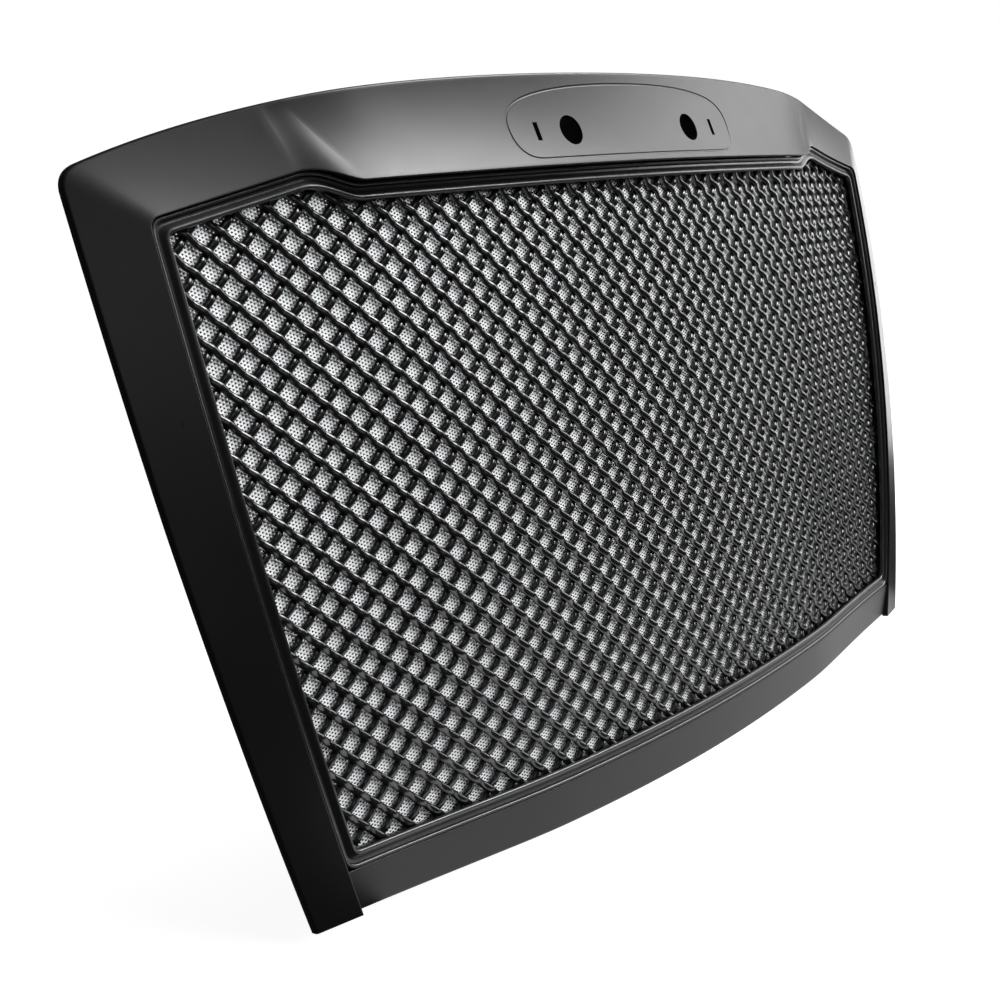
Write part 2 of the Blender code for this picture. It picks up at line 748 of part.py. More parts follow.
# ---------------------------------------------------------------- brackets
def bolt_places(name):
    """The two bolt places (x, z) on a pad."""
    for pad_name, (x, z), (half_x, half_z), _, _ in bracket_pads():
        if pad_name == name and half_x > half_z:
            return [(x - BOLT_SPACING / 2, z), (x + BOLT_SPACING / 2, z)]
        if pad_name == name:
            return [(x, z - BOLT_SPACING / 2), (x, z + BOLT_SPACING / 2)]
    return []


def bolt_holes(name, rear):
    """Cutters for a pad's bolt holes: blind in the pad, through in the bracket."""
    radius = BOLT_RADIUS + CLEARANCE
    holes = []
    for i, (x, z) in enumerate(bolt_places(name)):
        hole = cylinder("bolt_hole_%s_%d" % (name, i), radius, -BOLT_HOLE_DEPTH, 0.010, sides=8)
        hole.matrix_world = Matrix.Translation((x, rear, z)) @ Matrix.Rotation(-math.pi / 2, 4, "X")
        holes.append(hole)
    return holes


def build_bracket(name, x, z, half_x, half_z, rear, sheet_rear):
    """A steel bracket: a flange on the pad, a web, and a flange whose rear face is the mount."""
    front = rear + CLEARANCE
    web = BRACKET_SHEET
    hook = BRACKET_HOOK
    in_header = half_x > half_z
    if in_header:
        profile = [(-half_z, front), (half_z, front), (half_z, front + web),
                   (-half_z + web, front + web), (-half_z + web, sheet_rear - web),
                   (half_z, sheet_rear - web), (half_z, sheet_rear), (-half_z, sheet_rear)]
        bracket = turned_slab("bracket_" + name, profile, x - half_x, x + half_x,
                              lambda up, depth, across: (across, depth, z + up), BRACKET_STEEL)
    else:
        profile = [(half_x, front), (half_x, front + web), (-half_x + web, front + web),
                   (-half_x + web, sheet_rear), (-half_x - hook, sheet_rear),
                   (-half_x - hook, sheet_rear - web), (-half_x, sheet_rear - web), (-half_x, front)]
        sign = math.copysign(1.0, x)
        bracket = turned_slab("bracket_" + name, profile, z - half_z, z + half_z,
                              lambda out, depth, up: (x + sign * out, depth, up), BRACKET_STEEL)
    for cutter in bolt_holes(name, rear):
        boolean(bracket, cutter, "DIFFERENCE")
    hole = cylinder("mount_hole_" + name, MOUNT_HOLE_RADIUS, -0.01, 0.01, sides=16)
    mount_x = x if in_header else x - math.copysign(half_x + hook / 2, x)
    mount_z = z + MOUNT_HOLE_RISE if in_header else z
    turn = Matrix.Rotation(math.pi / 2, 4, "X")
    hole.matrix_world = Matrix.Translation((mount_x, sheet_rear, mount_z)) @ turn
    boolean(bracket, hole, "DIFFERENCE")
    apply_modifiers(bracket)


def build_brackets():
    for name, (x, z), (half_x, half_z), rear, sheet_rear in bracket_pads():
        build_bracket(name, x, z, half_x, half_z, rear, sheet_rear)
        seat = rear + BRACKET_SHEET + 2 * CLEARANCE
        turn = Matrix.Rotation(-math.pi / 2, 4, "X")
        for i, (bolt_x, bolt_z) in enumerate(bolt_places(name)):
            bolt = hex_bolt("bolt_%s_%d" % (name, i + 1))
            bolt.matrix_world = Matrix.Translation((bolt_x, seat, bolt_z)) @ turn


def hex_bolt(name):
    """A hexagon bolt: local Z out of the head, zero under it."""
    profile = [(0.0, BOLT_HEAD_HEIGHT), (BOLT_HEAD_RADIUS, BOLT_HEAD_HEIGHT),
               (BOLT_HEAD_RADIUS, 0.0), (BOLT_RADIUS, 0.0), (BOLT_RADIUS, -BOLT_LENGTH),
               (0.0, -BOLT_LENGTH)]
    return turned(name, profile, 6, ZINC)


# ---------------------------------------------------------------- lower rail
def rail_front_y(x, z):
    return face_y(x, z) - RAIL_PROUD


def build_rail():
    """The lower rail between the legs: a face with a lip along its top and bottom."""
    rows = []
    end = meet(rail_top, leg_inner, 0.45)[0] - FIT_GAP
    stations = spread(end, 0.0, BOTTOM_STEPS) + [0.0]
    for x in stations:
        top_z, bottom_z = rail_top(x), rail_bottom(x)
        shift = leg_inner(bottom_z) - leg_inner(top_z)
        lean = shift * x / end
        top = Vector((x, rail_front_y(x, top_z), top_z))
        low = Vector((x + lean, rail_front_y(x + lean, bottom_z) + RAIL_TILT, bottom_z))
        back = Vector((0.0, 1.0, 0.0))
        up = Vector((0.0, 0.0, 1.0))
        row = [top - up * LIP_DRAFT + back * INNER_LIP]
        row += [top.lerp(low, t) for t in (0.0, 0.35, 0.7, 1.0)]
        row.append(low + up * LIP_DRAFT + back * RAIL_LIP)
        rows.append(row)
    rail = grid_surface("lower_rail", rows, PLASTIC_BLACK)
    mirror_and_shell(rail, SHELL)
    apply_modifiers(rail)
    for side, at in FRAME_SCREWS:
        if side == "bottom":
            post, hole = boss("boss_rail_%d" % round(at * 1000), side, at, BOSS_FRONT_LEG)
            boolean(rail, post, "UNION")
            boolean(rail, hole, "DIFFERENCE")
    apply_modifiers(rail)
    smooth(rail)


# ---------------------------------------------------------------- pieces around the opening
def build_bezel():
    """The trim ring: an outer lip, a channel and a round bead beside the lattice."""
    bezel = ring_loft("inner_bezel", ring_section(BEZEL_SECTION), BEZEL_BLACK)
    smooth(bezel)


def build_lattice():
    """Diagonal bars on a flange that runs behind the surround; bent over the crowned face."""
    cell = LATTICE_CELL * CELLS_PER_BAR / math.sqrt(2)
    count = LATTICE_GRID
    bm = bmesh.new()
    upright = Matrix.Rotation(math.pi / 4, 4, "Y") @ Matrix.Rotation(math.pi / 2, 4, "X")
    bmesh.ops.create_grid(bm, x_segments=count, y_segments=count, size=cell * count / 2,
                          matrix=upright)
    bars = object_from_bmesh("lattice_insert", bm, LATTICE_BLACK)
    wire = bars.modifiers.new("bars", "WIREFRAME")
    wire.thickness = BAR_WIDTH
    wire.use_even_offset = True
    wire.use_replace = True
    wire.use_boundary = True
    apply_modifiers(bars)
    deepen = BAR_DEPTH / BAR_WIDTH
    for vertex in bars.data.vertices:
        vertex.co.y = vertex.co.y * deepen + BAR_DEPTH / 2
    window = flat_slab("lattice_window", opening_loop(LATTICE_EDGE, LATTICE_CORNER), -0.02, 0.03)
    boolean(bars, window, "INTERSECT")
    section = [(RIM_OUTER, RIM_FRONT), (RIM_OUTER, LATTICE_BACK), (RIM_INNER, LATTICE_BACK),
               (RIM_INNER, RIM_FRONT)]
    corners = {RIM_OUTER: RIM_CORNER, RIM_INNER: LATTICE_CORNER}
    loops = []
    for w, d in section:
        loops.append([(x, d, z) for x, z in opening_loop(w, corners[w])])
    rim = ring_loft("lattice_rim", loops, LATTICE_BLACK)
    PARTS.objects.unlink(rim)
    CUTTERS.objects.link(rim)
    rim.hide_render = True
    rim.display_type = "WIRE"
    boolean(bars, rim, "UNION")
    apply_modifiers(bars)
    triangulate(bars)
    drape(bars)
    holes = [(side, at, FRAME_SCREW_W) for side, at in FRAME_SCREWS]
    holes += [(side, at, RETAINER_W) for side, at in RETAINERS]
    for side, at, w in holes:
        (x, z), inward = edge_place(side, at, w)
        hole = cylinder("rim_hole", SCREW_RADIUS + CLEARANCE, 0.0, 0.02, sides=8)
        hole.data.transform(back_frame(x, z, 0.0, inward))
        boolean(bars, hole, "DIFFERENCE")
    apply_modifiers(bars)


def build_screen():
    """The bug screen: a thin sheet behind the lattice, inside the binding frame."""
    bm = bmesh.new()
    upright = Matrix.Rotation(math.pi / 2, 4, "X")
    bmesh.ops.create_grid(bm, x_segments=SCREEN_COLUMNS, y_segments=SCREEN_ROWS, size=0.5,
                          matrix=upright)
    wide, high = SCREEN_BLANK
    bmesh.ops.scale(bm, vec=(wide, 1.0, high), verts=bm.verts)
    screen = object_from_bmesh("bug_screen", bm, SCREEN_WIRE)
    sheet = screen.modifiers.new("sheet", "SOLIDIFY")
    sheet.thickness = SCREEN_THICK
    sheet.offset = 0.0
    window = flat_slab("screen_window", opening_loop(SCREEN_EDGE, SCREEN_CORNER), -0.02, 0.02)
    boolean(screen, window, "INTERSECT")
    apply_modifiers(screen)
    for vertex in screen.data.vertices:
        vertex.co.y += SCREEN_FRONT + SCREEN_THICK / 2
    drape(screen)


def build_screen_frame():
    """The flat binding strip behind the edge of the bug screen."""
    section = [(SCREEN_EDGE, FRAME_FRONT, SCREEN_CORNER), (SCREEN_EDGE, FRAME_BACK, SCREEN_CORNER),
               (FRAME_INNER, FRAME_BACK, LATTICE_CORNER), (FRAME_INNER, FRAME_FRONT, LATTICE_CORNER)]
    ring_loft("screen_frame", ring_section(section), FRAME_STEEL)


# ---------------------------------------------------------------- fasteners
def pan_screw(name, shank):
    """A pan-head screw: local Z out of the head, zero under it."""
    head, height = SCREW_HEAD_RADIUS, SCREW_HEAD_HEIGHT
    profile = [(0.0, height), (0.65 * head, 0.9 * height), (head, 0.4 * height), (head, 0.0),
               (SCREW_RADIUS, 0.0), (SCREW_RADIUS, -shank), (0.0, -shank)]
    return turned(name, profile, 8, ZINC)


def shoulder_screw(name):
    """A retainer's pivot: local Z out of the head, zero at the collar's rear face."""
    collar = RETAINER_FRONT - LATTICE_BACK - 2 * CLEARANCE
    post = RETAINER_THICK + 2 * CLEARANCE
    top, tip = post + SCREW_HEAD_HEIGHT, -collar - PIVOT_THREAD
    profile = [(0.0, top), (COLLAR_RADIUS, top - 0.0004), (PIVOT_HEAD_RADIUS, post),
               (SCREW_RADIUS, post), (SCREW_RADIUS, 0.0), (COLLAR_RADIUS, 0.0),
               (COLLAR_RADIUS, -collar), (SCREW_RADIUS, -collar), (SCREW_RADIUS, tip), (0.0, tip)]
    return turned(name, profile, 8, ZINC)


def retainer(name):
    """A turn button: a waisted bar with a finger ridge, its origin on the pivot."""
    half, waist, end = BUTTON_HALF_LENGTH, BUTTON_HALF_WAIST, BUTTON_HALF_END
    corner, reach = BUTTON_CORNER, BUTTON_WAIST_REACH
    upper = [(half, end - corner), (half - corner, end), (reach, waist), (-reach, waist),
             (-half + corner, end), (-half, end - corner)]
    outline = upper + [(-across, -along) for across, along in upper]
    button = flat_slab(name, outline, -RETAINER_THICK / 2, RETAINER_THICK / 2, NYLON)
    button.data.transform(Matrix.Rotation(math.pi / 2, 4, "X"))
    button.data.transform(Matrix.Translation((0.0, 0.0, RETAINER_THICK / 2)))
    low, high = RETAINER_THICK - RIDGE_ROOT, RETAINER_THICK + RIDGE_HEIGHT
    for start, stop in ((RIDGE_START, RIDGE_END), (-RIDGE_END, -RIDGE_START)):
        ridge = box(name + "_ridge", (start, -RIDGE_HALF_WIDTH, low), (stop, RIDGE_HALF_WIDTH, high))
        boolean(button, ridge, "UNION")
    hole = cylinder(name + "_hole", SCREW_RADIUS + CLEARANCE, -0.01, 0.01, sides=16)
    boolean(button, hole, "DIFFERENCE")
    apply_modifiers(button)
    return button


def build_retainers():
    for i, (side, at) in enumerate(RETAINERS):
        (x, z), inward = edge_place(side, at, RETAINER_W)
        button = retainer("screen_retainer_%d" % (i + 1))
        button.matrix_world = back_frame(x, z, RETAINER_FRONT, inward)
        pivot = shoulder_screw("retainer_screw_%d" % (i + 1))
        pivot.matrix_world = back_frame(x, z, RETAINER_FRONT - CLEARANCE, inward)


def build_frame_screws():
    for i, (side, at) in enumerate(FRAME_SCREWS):
        (x, z), inward = edge_place(side, at, FRAME_SCREW_W)
        screw = pan_screw("frame_screw_%d" % (i + 1), FRAME_SCREW_LENGTH)
        screw.matrix_world = back_frame(x, z, LATTICE_BACK + CLEARANCE, inward)


build_surround()
build_brackets()
build_rail()
build_bezel()
build_lattice()
build_screen()
build_screen_frame()
build_retainers()
build_frame_screws()
for piece in PARTS.objects:
    piece.matrix_world = Matrix.Translation(DATUM) @ piece.matrix_world
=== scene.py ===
"""Looks of the front grille guard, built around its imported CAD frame."""
import json
import math

import bmesh
import bpy
import numpy as np
from mathutils import Matrix, Vector

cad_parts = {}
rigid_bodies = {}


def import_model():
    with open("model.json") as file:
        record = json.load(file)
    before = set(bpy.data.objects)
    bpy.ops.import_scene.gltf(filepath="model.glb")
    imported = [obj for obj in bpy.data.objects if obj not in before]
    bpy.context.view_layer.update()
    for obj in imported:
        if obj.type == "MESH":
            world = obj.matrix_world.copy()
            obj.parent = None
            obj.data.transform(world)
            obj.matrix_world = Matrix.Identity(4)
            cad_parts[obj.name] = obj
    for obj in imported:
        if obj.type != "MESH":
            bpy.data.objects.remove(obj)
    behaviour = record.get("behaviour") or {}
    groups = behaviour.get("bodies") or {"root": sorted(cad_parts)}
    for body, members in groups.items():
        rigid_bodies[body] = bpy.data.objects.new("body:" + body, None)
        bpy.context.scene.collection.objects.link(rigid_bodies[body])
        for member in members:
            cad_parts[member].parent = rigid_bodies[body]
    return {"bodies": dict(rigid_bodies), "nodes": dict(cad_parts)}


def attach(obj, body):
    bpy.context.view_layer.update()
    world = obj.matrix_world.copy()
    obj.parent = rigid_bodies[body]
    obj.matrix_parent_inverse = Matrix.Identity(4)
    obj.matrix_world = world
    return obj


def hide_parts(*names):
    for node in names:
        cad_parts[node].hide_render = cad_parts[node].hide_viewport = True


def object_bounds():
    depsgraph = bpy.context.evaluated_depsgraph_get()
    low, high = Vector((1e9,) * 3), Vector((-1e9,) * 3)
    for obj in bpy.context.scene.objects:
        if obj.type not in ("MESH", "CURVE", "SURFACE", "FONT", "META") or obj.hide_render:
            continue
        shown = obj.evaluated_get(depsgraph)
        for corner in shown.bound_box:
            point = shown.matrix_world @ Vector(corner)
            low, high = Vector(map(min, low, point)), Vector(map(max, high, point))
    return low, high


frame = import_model()
cad_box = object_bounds()
BODY = next(body for body in frame["bodies"] if "button" not in body)

# ---------------------------------------------------------------- dimensions, in metres
# The datum is the middle of the lattice face, seen from the centre of the CAD's box.
DATUM = np.array((0.0, -0.041366, 0.012))
CROWN_ACROSS, CROWN_FLATTEN, CROWN_UP = 0.242, 0.604, 0.114
CROWN_LEAN, CROWN_SADDLE = 0.065, 0.239
CREASE_X, CREASE_LEAN, CREASE_SLOPE = 0.294, 0.161, 0.128
CREASE_FADE, CREASE_WIDTH = 0.137, 0.013
STEP_START, STEP_END = 0.338, 0.392
CREASE_TOP, CREASE_TOP_WIDTH = 0.390, 0.018
LEG_BOTTOM = -0.341
OPENING_CORNER, OUTER_CORNER = 0.010, 0.016
HEADER_PROUD, LEG_PROUD, HEADER_SAG = 0.016, 0.009, 0.003
INNER_LIP, OUTER_LIP, SHELL = 0.008, 0.007, 0.003
INNER_ROUND, OUTER_ROUND = 0.0013, 0.0022
RAIL_PROUD, RAIL_LIP, RAIL_TILT, FIT_GAP = 0.0065, 0.009, 0.003, 0.0006
EDGE_BREAK, FACE_COUNT = 0.0004, 40
EDGE_FLARE_START, EDGE_FLARE_WIDTH = 0.39, 0.18
EDGE_PROUD, EDGE_FLARE, EDGE_LOWER = 0.002, 0.012, 0.006
RAIL_INNER_ROUND, RAIL_OUTER_ROUND, RAIL_SHELL = 0.0010, 0.0022, 0.003
SEAT_HALF, SEAT_TOP, SEAT_BOTTOM = 0.171, 0.3185, 0.2500
SEAT_SHOULDER_X, SEAT_SHOULDER_DROP, SEAT_SIDE_DROP, SEAT_CORNER = 0.147, 0.013, 0.021, 0.032
GROOVE_RADIUS, GROOVE_RISE = 0.0016, 0.0009
HOLE_X, HOLE_Z, HOLE_RADIUS = 0.093, 0.2755, 0.0140
SLOT_X, SLOT_HALF_WIDTH, SLOT_HALF_HEIGHT = 0.137, 0.0028, 0.0085
SLEEVE_WALL, HOLE_SLEEVE_DEPTH, SLOT_SLEEVE_DEPTH, SLEEVE_FLAT_Z = 0.0016, 0.022, 0.006, 0.2607
HALF_PITCH_X, HALF_PITCH_Z = 0.0143333, 0.01442
RIM_OUTER, RIM_INNER, RIM_FRONT, RIM_BACK = -0.017, 0.012, 0.0050, 0.0090
FRAME_SCREW_W, RETAINER_W = -0.011, -0.007
SCREW_HOLE = 0.0023
BOSS_RADIUS, BOSS_FLOOR, BOSS_GAP = 0.005, 0.002, 0.0003
BOSS_FRONT, BOSS_FRONT_HEADER, BOSS_FRONT_WING = -0.0035, -0.0110, -0.005
PAD_BOLT_OFFSET, PAD_HOLE_RADIUS, PAD_HOLE_DEPTH, PAD_ROUND = 0.008, 0.0029, 0.0082, 0.002
CUT_THROUGH = 0.06


# ---------------------------------------------------------------- the crowned face
def softplus(distance, width):
    return width * np.logaddexp(0.0, distance / width)


def face_y(x, z):
    across = np.abs(x)
    crown = CROWN_ACROSS * x ** 2 - CROWN_FLATTEN * x ** 4 + CROWN_UP * z ** 2
    twist = CROWN_LEAN * x ** 2 * z + CROWN_SADDLE * x ** 2 * z ** 2
    past = across - (CREASE_X + CREASE_LEAN * z)
    return crown + twist + (CREASE_SLOPE + CREASE_FADE * z) * softplus(past, CREASE_WIDTH)


def face_normal(x, z):
    """Unit vectors out of the back of the crowned face."""
    step = 0.002
    slope_x = (face_y(x + step, z) - face_y(x - step, z)) / (2 * step)
    slope_z = (face_y(x, z + step) - face_y(x, z - step)) / (2 * step)
    normal = np.stack([-slope_x, np.ones_like(slope_x), -slope_z], -1)
    return normal / np.linalg.norm(normal, axis=-1, keepdims=True)


def blend_step(x):
    t = np.clip((np.abs(x) - STEP_START) / (STEP_END - STEP_START), 0.0, 1.0)
    return t * t * (3 - 2 * t)


def header_top(x):
    return 0.330 - 0.053 * x ** 2 - 0.40 * x ** 4


def leg_outer(z):
    return 0.5515 + 0.115 * z - 0.17 * z ** 2


def leg_inner(z):
    return leg_outer(z) - 0.046 - 0.012 * z


def opening_top(x):
    shoulder = 0.256 - 0.1985 * (np.abs(x) - 0.384)
    return 0.243 + blend_step(x) * (shoulder - 0.243)


def rail_top(x):
    return -0.312 + 0.053 * x ** 2


def rail_bottom(x):
    return -0.354 + 0.075 * x ** 2


def face_proud(x):
    return HEADER_PROUD + (LEG_PROUD - HEADER_PROUD) * blend_step(x)


def outer_edge_y(x, z):
    flare = np.clip((np.abs(x) - EDGE_FLARE_START) / EDGE_FLARE_WIDTH, 0.0, 1.0)
    lower = np.maximum(-z, 0.0) / abs(LEG_BOTTOM)
    return face_y(x, z) - EDGE_PROUD + EDGE_FLARE * flare - EDGE_LOWER * lower


# ---------------------------------------------------------------- outlines
def spread(start, end, count):
    return [start + (end - start) * i / count for i in range(count)]


def rounded_corner(before, corner, after, count):
    """A curve from before to after, drawn towards the corner between them."""
    points = []
    for i in range(count + 1):
        t = i / count
        points.append(tuple((1 - t) ** 2 * b + 2 * t * (1 - t) * c + t ** 2 * a
                            for b, c, a in zip(before, corner, after)))
    return points


def meet(edge_z, edge_x, x):
    """Where the edge z = edge_z(x) meets the edge x = edge_x(z), starting near x."""
    z = edge_z(x)
    for _ in range(30):
        x = float(edge_x(z))
        z = float(edge_z(x))
    return x, z


def opening_half(w, corner, fine):
    """Right half of the opening's outline, moved inwards by w, from top middle to bottom middle."""
    top = lambda x: float(opening_top(x)) - w
    side = lambda z: float(leg_inner(z)) - w
    bottom = lambda x: float(rail_top(x)) + w
    x_top, z_top = meet(top, side, 0.5)
    x_low, z_low = meet(bottom, side, 0.45)
    stations = spread(0.0, STEP_START, 12 * fine) + spread(STEP_START, STEP_END, 5 * fine)
    stations += spread(STEP_END, x_top - corner, 5 * fine)
    points = [(x, top(x)) for x in stations]
    high, foot = z_top - corner, z_low + corner
    points += rounded_corner((x_top - corner, top(x_top - corner)), (x_top, z_top), (side(high), high), 10)
    points += [(side(z), z) for z in spread(high, foot, 20 * fine)][1:]
    points += rounded_corner((side(foot), foot), (x_low, z_low), (x_low - corner, bottom(x_low - corner)), 10)
    points += [(x, bottom(x)) for x in spread(x_low - corner, 0.0, 16 * fine)][1:]
    points.append((0.0, bottom(0.0)))
    return points


def opening_loop(w, corner, fine):
    """The opening's whole outline, moved inwards by w, with corners of the given size."""
    right = opening_half(w, corner, fine)
    return np.array(right + [(-x, z) for x, z in reversed(right[1:-1])])


def inside(points, polygon):
    """Which of the points (x, z) lie inside a closed polygon."""
    x, z = points[:, 0], points[:, 1]
    result = np.zeros(len(points), bool)
    previous = polygon[-1]
    for corner in polygon:
        crosses = (corner[1] > z) != (previous[1] > z)
        with np.errstate(divide="ignore", invalid="ignore"):
            at = (previous[0] - corner[0]) * (z - corner[1]) / (previous[1] - corner[1]) + corner[0]
        result ^= crosses & (x < at)
        previous = corner
    return result


# ---------------------------------------------------------------- mesh helpers
def new_piece(name, verts, faces, material, body=BODY):
    """A smooth mesh of quads, which rides on a body of the frame."""
    mesh = bpy.data.meshes.new(name)
    verts = np.asarray(verts, np.float32)
    faces = np.asarray(faces, np.int32)
    count, sides = faces.shape
    mesh.vertices.add(len(verts))
    mesh.vertices.foreach_set("co", verts.ravel())
    mesh.loops.add(count * sides)
    mesh.loops.foreach_set("vertex_index", faces.ravel())
    mesh.polygons.add(count)
    mesh.polygons.foreach_set("loop_start", np.arange(0, count * sides, sides, dtype=np.int32))
    mesh.update(calc_edges=True)
    mesh.validate()
    mesh.shade_smooth()
    mesh.materials.append(material)
    piece = bpy.data.objects.new(name, mesh)
    bpy.context.scene.collection.objects.link(piece)
    if body:
        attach(piece, body)
    return piece


def strip_faces(rows, columns, closed_rows=False, closed_columns=False):
    """Quads of a grid of rows by columns of vertices."""
    i = np.arange(rows if closed_rows else rows - 1)
    j = np.arange(columns if closed_columns else columns - 1)
    i, j = np.meshgrid(i, j, indexing="ij")
    following_row, following_column = (i + 1) % rows, (j + 1) % columns
    quads = np.stack([i * columns + j, i * columns + following_column,
                      following_row * columns + following_column, following_row * columns + j], -1)
    return quads.reshape(-1, 4)


def face_outwards(piece):
    bm = bmesh.new()
    bm.from_mesh(piece.data)
    bmesh.ops.recalc_face_normals(bm, faces=bm.faces)
    if bm.calc_volume(signed=True) < 0:
        bmesh.ops.reverse_faces(bm, faces=bm.faces)
    bm.to_mesh(piece.data)
    bm.free()


def cap(piece):
    """Closes the open ends of a loft."""
    bm = bmesh.new()
    bm.from_mesh(piece.data)
    edges = [edge for edge in bm.edges if edge.is_boundary]
    result = bmesh.ops.holes_fill(bm, edges=edges, sides=0)
    bmesh.ops.triangulate(bm, faces=result["faces"])
    bm.to_mesh(piece.data)
    bm.free()


def helper(name, bm):
    """A solid for combine(), which takes it away again."""
    mesh = bpy.data.meshes.new(name)
    bm.to_mesh(mesh)
    bm.free()
    obj = bpy.data.objects.new(name, mesh)
    bpy.context.scene.collection.objects.link(obj)
    return obj


def post(name, radius, low, high, matrix, sides):
    """A round rod from low to high along the matrix's Z axis."""
    middle = Matrix.Translation((0, 0, (low + high) / 2))
    bm = bmesh.new()
    bmesh.ops.create_cone(bm, cap_ends=True, segments=sides, radius1=radius, radius2=radius,
                          depth=high - low, matrix=matrix @ middle)
    return helper(name, bm)


def block(name, low, high):
    bm = bmesh.new()
    bmesh.ops.create_cube(bm, size=1.0)
    low, high = Vector(low), Vector(high)
    bmesh.ops.scale(bm, vec=high - low, verts=bm.verts)
    bmesh.ops.translate(bm, vec=(low + high) / 2, verts=bm.verts)
    return helper(name, bm)


def combine(piece, others, operation):
    """Joins or cuts a piece with several helpers, one after another, and deletes them."""
    for other in others:
        modifier = piece.modifiers.new("combine", "BOOLEAN")
        modifier.operation = operation
        modifier.object = other
    graph = bpy.context.evaluated_depsgraph_get()
    finished = bpy.data.meshes.new_from_object(piece.evaluated_get(graph))
    piece.modifiers.clear()
    old = piece.data
    piece.data = finished
    finished.name = old.name
    bpy.data.meshes.remove(old)
    for other in others:
        bpy.data.objects.remove(other, do_unlink=True)


def shade(piece, angle=32):
    piece.data.shade_smooth()
    piece.data.set_sharp_from_angle(angle=math.radians(angle))


def edge_place(side, at, w):
    """A place (x, z) and the inward direction, for an edge, a coordinate along it and w."""
    if side == "top":
        return (at, float(opening_top(at)) - w), (0.0, -1.0)
    if side == "bottom":
        return (at, float(rail_top(at)) + w), (0.0, 1.0)
    sign = 1.0 if side == "right" else -1.0
    return (sign * (float(leg_inner(at)) - w), at), (-sign, 0.0)


def back_frame(x, z, inward):
    """A frame on the crowned face: local Z out of the back, local X along the inward way."""
    normal = Vector(face_normal(np.array(x), np.array(z)))
    way = Vector((inward[0], 0.0, inward[1]))
    way = (way - normal * way.dot(normal)).normalized()
    matrix = Matrix((way, normal.cross(way), normal)).transposed().to_4x4()
    matrix.translation = Vector((x, float(face_y(x, z)), z)) + Vector(DATUM)
    return matrix


FRAME_SCREWS = [("top", -0.43), ("top", -0.17), ("top", 0.17), ("top", 0.43), ("left", 0.08),
                ("left", -0.17), ("right", 0.08), ("right", -0.17), ("bottom", -0.19), ("bottom", 0.19)]
RETAINERS = [("top", -0.26), ("top", 0.26), ("left", 0.16), ("left", -0.06), ("right", 0.16),
             ("right", -0.06), ("bottom", -0.28), ("bottom", 0.28)]


def screw_boss(side, at, front):
    """A boss for a frame screw, starting at a depth behind the crowned face, and the hole in it."""
    (x, z), inward = edge_place(side, at, FRAME_SCREW_W)
    matrix = back_frame(x, z, inward)
    boss = post("boss", BOSS_RADIUS, front, RIM_FRONT - BOSS_GAP, matrix, 28)
    hole = post("boss_hole", SCREW_HOLE, front + BOSS_FLOOR, 0.02, matrix, 20)
    return boss, hole


# ---------------------------------------------------------------- materials
def new_material(name, colour, roughness, metallic=0.0, specular=0.5):
    material = bpy.data.materials.new(name)
    material.use_nodes = True
    tree = material.node_tree
    shader = tree.nodes["Principled BSDF"]
    shader.inputs["Base Color"].default_value = (*colour, 1.0)
    shader.inputs["Roughness"].default_value = roughness
    shader.inputs["Metallic"].default_value = metallic
    shader.inputs["Specular IOR Level"].default_value = specular
    return material, tree, shader


def noise(tree, scale, detail, stretch=(1.0, 1.0, 1.0)):
    """A noise fixed to the object, from 0 to 1."""
    place = tree.nodes.new("ShaderNodeTexCoord")
    mapping = tree.nodes.new("ShaderNodeMapping")
    mapping.inputs["Scale"].default_value = stretch
    texture = tree.nodes.new("ShaderNodeTexNoise")
    texture.inputs["Scale"].default_value = scale
    texture.inputs["Detail"].default_value = detail
    tree.links.new(place.outputs["Object"], mapping.inputs["Vector"])
    tree.links.new(mapping.outputs["Vector"], texture.inputs["Vector"])
    return texture.outputs["Fac"]


def ramp(tree, fac, low, high):
    """Maps the middle of a noise's range to a range of values."""
    node = tree.nodes.new("ShaderNodeMapRange")
    node.inputs["From Min"].default_value = 0.35
    node.inputs["From Max"].default_value = 0.65
    node.inputs["To Min"].default_value = low
    node.inputs["To Max"].default_value = high
    tree.links.new(fac, node.inputs["Value"])
    return node.outputs["Result"]


def vary_colour(tree, shader, fac, dark, light):
    node = tree.nodes.new("ShaderNodeMix")
    node.data_type = "RGBA"
    node.inputs["A"].default_value = (*dark, 1.0)
    node.inputs["B"].default_value = (*light, 1.0)
    tree.links.new(fac, node.inputs["Factor"])
    tree.links.new(node.outputs["Result"], shader.inputs["Base Color"])


def add_bump(tree, shader, heights, strength, distance):
    bump = tree.nodes.new("ShaderNodeBump")
    bump.inputs["Strength"].default_value = strength
    bump.inputs["Distance"].default_value = distance
    tree.links.new(heights, bump.inputs["Height"])
    tree.links.new(bump.outputs["Normal"], shader.inputs["Normal"])


def moulded(name, dark, light, rough_low, rough_high, grain, bump, specular=0.5):
    """Moulded plastic or paint: fine grain, faint cloudy variation of colour and gloss."""
    material, tree, shader = new_material(name, light, rough_low, specular=specular)
    cloud = noise(tree, 9.0, 4.0)
    vary_colour(tree, shader, ramp(tree, cloud, 0.0, 1.0), dark, light)
    tree.links.new(ramp(tree, noise(tree, 38.0, 5.0), rough_low, rough_high), shader.inputs["Roughness"])
    add_bump(tree, shader, noise(tree, grain, 2.0), bump, 0.0004)
    return material


